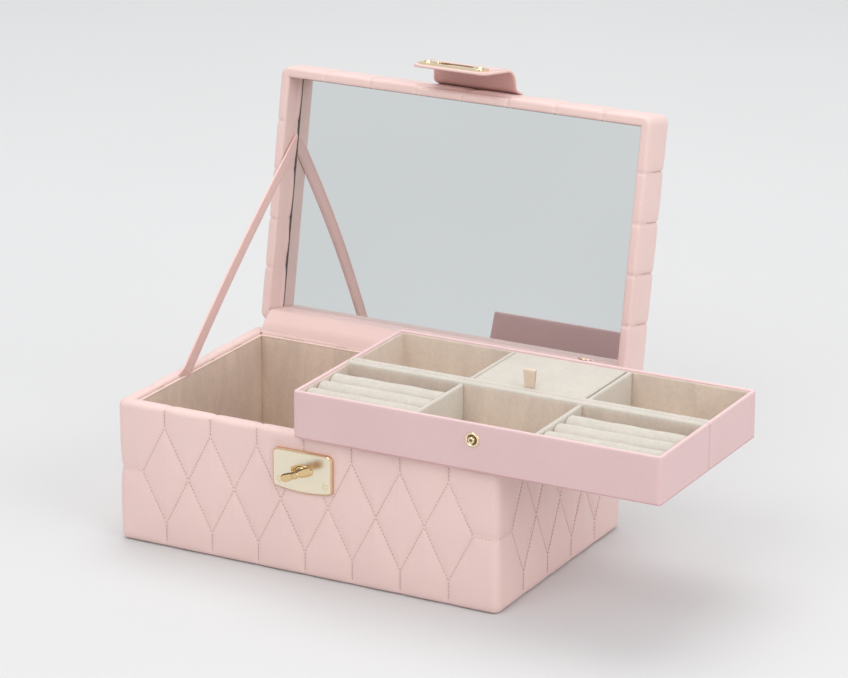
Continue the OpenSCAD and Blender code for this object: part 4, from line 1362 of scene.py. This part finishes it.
def snap_ring():
    """Thin ring socket on the snap tab."""
    lean = math.radians(TAB_LEAN)
    out = np.array([0, -math.cos(lean), math.sin(lean)])
    centre = sum(box("snap_socket")) / 2 - out * 0.8
    profile = [(-0.2, 4.9), (0.35, 4.9), (0.6, 4.6), (0.6, 4.1), (0.4, 3.8), (0.2, 3.7), (0.2, 0.01)]
    make_piece("snap_ring", *lathe(profile, centre, out), GOLD_DEEP, "gold", "snap_tab", ["snap_socket"])


def press_stud():
    """Gold ring with a small domed cap in it; the hollow between them and the dip in the cap's middle carry
    painted shade.
    """
    low, high = box("snap_stud")
    centre = np.array([(low[0] + high[0]) / 2, high[1], (low[2] + high[2]) / 2])
    radius = (high[0] - low[0]) / 2
    proud = high[1] - low[1]
    flange = [(0, 0), (0.35, 0), (0.8, 0.35), (1.05, 0.95), (0.8, 1.5), (0.4, 1.75)]
    cap = [(0.6, 2.2), (0.15, 1.9), (0, 1.5), (0.1, 1.1), (0.5, 0.8), (0.55, 0.01)]
    profile = [(along, radius - inset) for along, inset in flange] + [(0.35, 2.3)]
    profile += [(proud - under, off) for under, off in cap]
    points, faces = lathe(profile, centre, (0, -1, 0))
    stud = make_piece("press_stud", points, faces, GOLD, "gold", "tray_front", ["snap_stud"])
    stud.data.materials.append(GOLD_SHADE)
    sides = len(points) // len(profile)
    # painted shade: the hollow between ring and cap and the dip in the cap's middle get the dark gold
    shaded = {len(flange) - 1, len(flange), len(profile) - 3, len(profile) - 2}
    for face in stud.data.polygons:
        face.material_index = int(min(face.vertices) // sides in shaded)


# ---------------------------------------------------------------- stage

# name, place in metres, width in metres and power in watts
LIGHTS = [
    ("right", (2.5, -0.6, 1.25), 1.8, 24.0),
    ("front", (-0.1, -2.6, 2.2), 2.0, 28.0),
    ("top", (-0.3, 0.7, 2.6), 1.8, 28.5),
]
LIT_POINT = (0, 0, 0.1)
CAMERA_PLACE = (1.1691, -2.0748, 0.9325)
CAMERA_DOWN, CAMERA_TURN = 18.506, 28.56  # degrees below level and from looking along +Y

def stage_floor():
    """Pale paper floor."""
    material, tree, shader = material_base("paper_floor", Roughness=0.9, Specular_IOR_Level=0.1)
    fibres = texture(tree, "ShaderNodeTexNoise", 3, Detail=2.0)
    tone = mixed_colour(tree, fibres.outputs["Fac"], (0.645, 0.645, 0.645, 1), (0.655, 0.655, 0.655, 1))
    tree.links.new(tone, shader.inputs["Base Color"])
    half = 9000
    corners = [(-half, -half, 0), (half, -half, 0), (half, half, 0), (-half, half, 0)]
    floor = make_mesh("floor", corners, [[0, 1, 2, 3]], material, orient=False)
    floor.data.shade_flat()


def stage_world():
    """Even white surroundings with one dark patch towards the front and the right."""
    world = bpy.data.worlds.new("studio")
    bpy.context.scene.world = world
    world.use_nodes = True
    tree = world.node_tree
    background = tree.nodes["Background"]
    background.inputs["Strength"].default_value = 0.78
    place = tree.nodes.new("ShaderNodeTexCoord")
    towards = tree.nodes.new("ShaderNodeVectorMath")
    towards.operation = "DOT_PRODUCT"
    towards.inputs[1].default_value = (0.78, -0.60, 0.18)
    tree.links.new(place.outputs["Generated"], towards.inputs[0])
    sky, patch = (0.975, 0.985, 1.0, 1), (0.10, 0.10, 0.11, 1)
    dim = mixed_colour(tree, towards.outputs["Value"], sky, patch, (0.95, 0.98))
    tree.links.new(dim, background.inputs["Color"])


def stage():
    """Floor, surroundings, soft lights and the camera."""
    bpy.context.scene.view_settings.view_transform = "Standard"
    stage_floor()
    stage_world()
    for name, place, size, watts in LIGHTS:
        light = bpy.data.lights.new(name, "AREA")
        light.size = size
        light.energy = watts
        lamp = bpy.data.objects.new(name, light)
        lamp.location = place
        lamp.rotation_euler = (Vector(LIT_POINT) - Vector(place)).to_track_quat("-Z", "Y").to_euler()
        bpy.context.scene.collection.objects.link(lamp)
    camera = bpy.data.cameras.new("camera")
    camera.sensor_width = 36.0
    camera.lens = 163.1
    camera.clip_end = 50.0
    eye = bpy.data.objects.new("camera", camera)
    eye.location = CAMERA_PLACE
    eye.rotation_euler = (math.radians(90 - CAMERA_DOWN), 0, math.radians(CAMERA_TURN))
    bpy.context.scene.collection.objects.link(eye)
    bpy.context.scene.camera = eye


stage()
finish_cad_nodes()
base_outside()
base_inside()
lid_outside()
hinge_gusset()
stay_strap()
closure_flap()
mirror_edge()
lock_front()
turn_knob()
tray_half("front", [OUTER_CORNER, FOLD_CORNER, FOLD_CORNER, OUTER_CORNER])
tray_half("rear", [FOLD_CORNER, OUTER_CORNER, OUTER_CORNER, FOLD_CORNER])
for roll_number in range(1, 7):
    ring_roll(roll_number)
fold_strip()
compartment_lid()
snap_tab()
snap_ring()
press_stud()
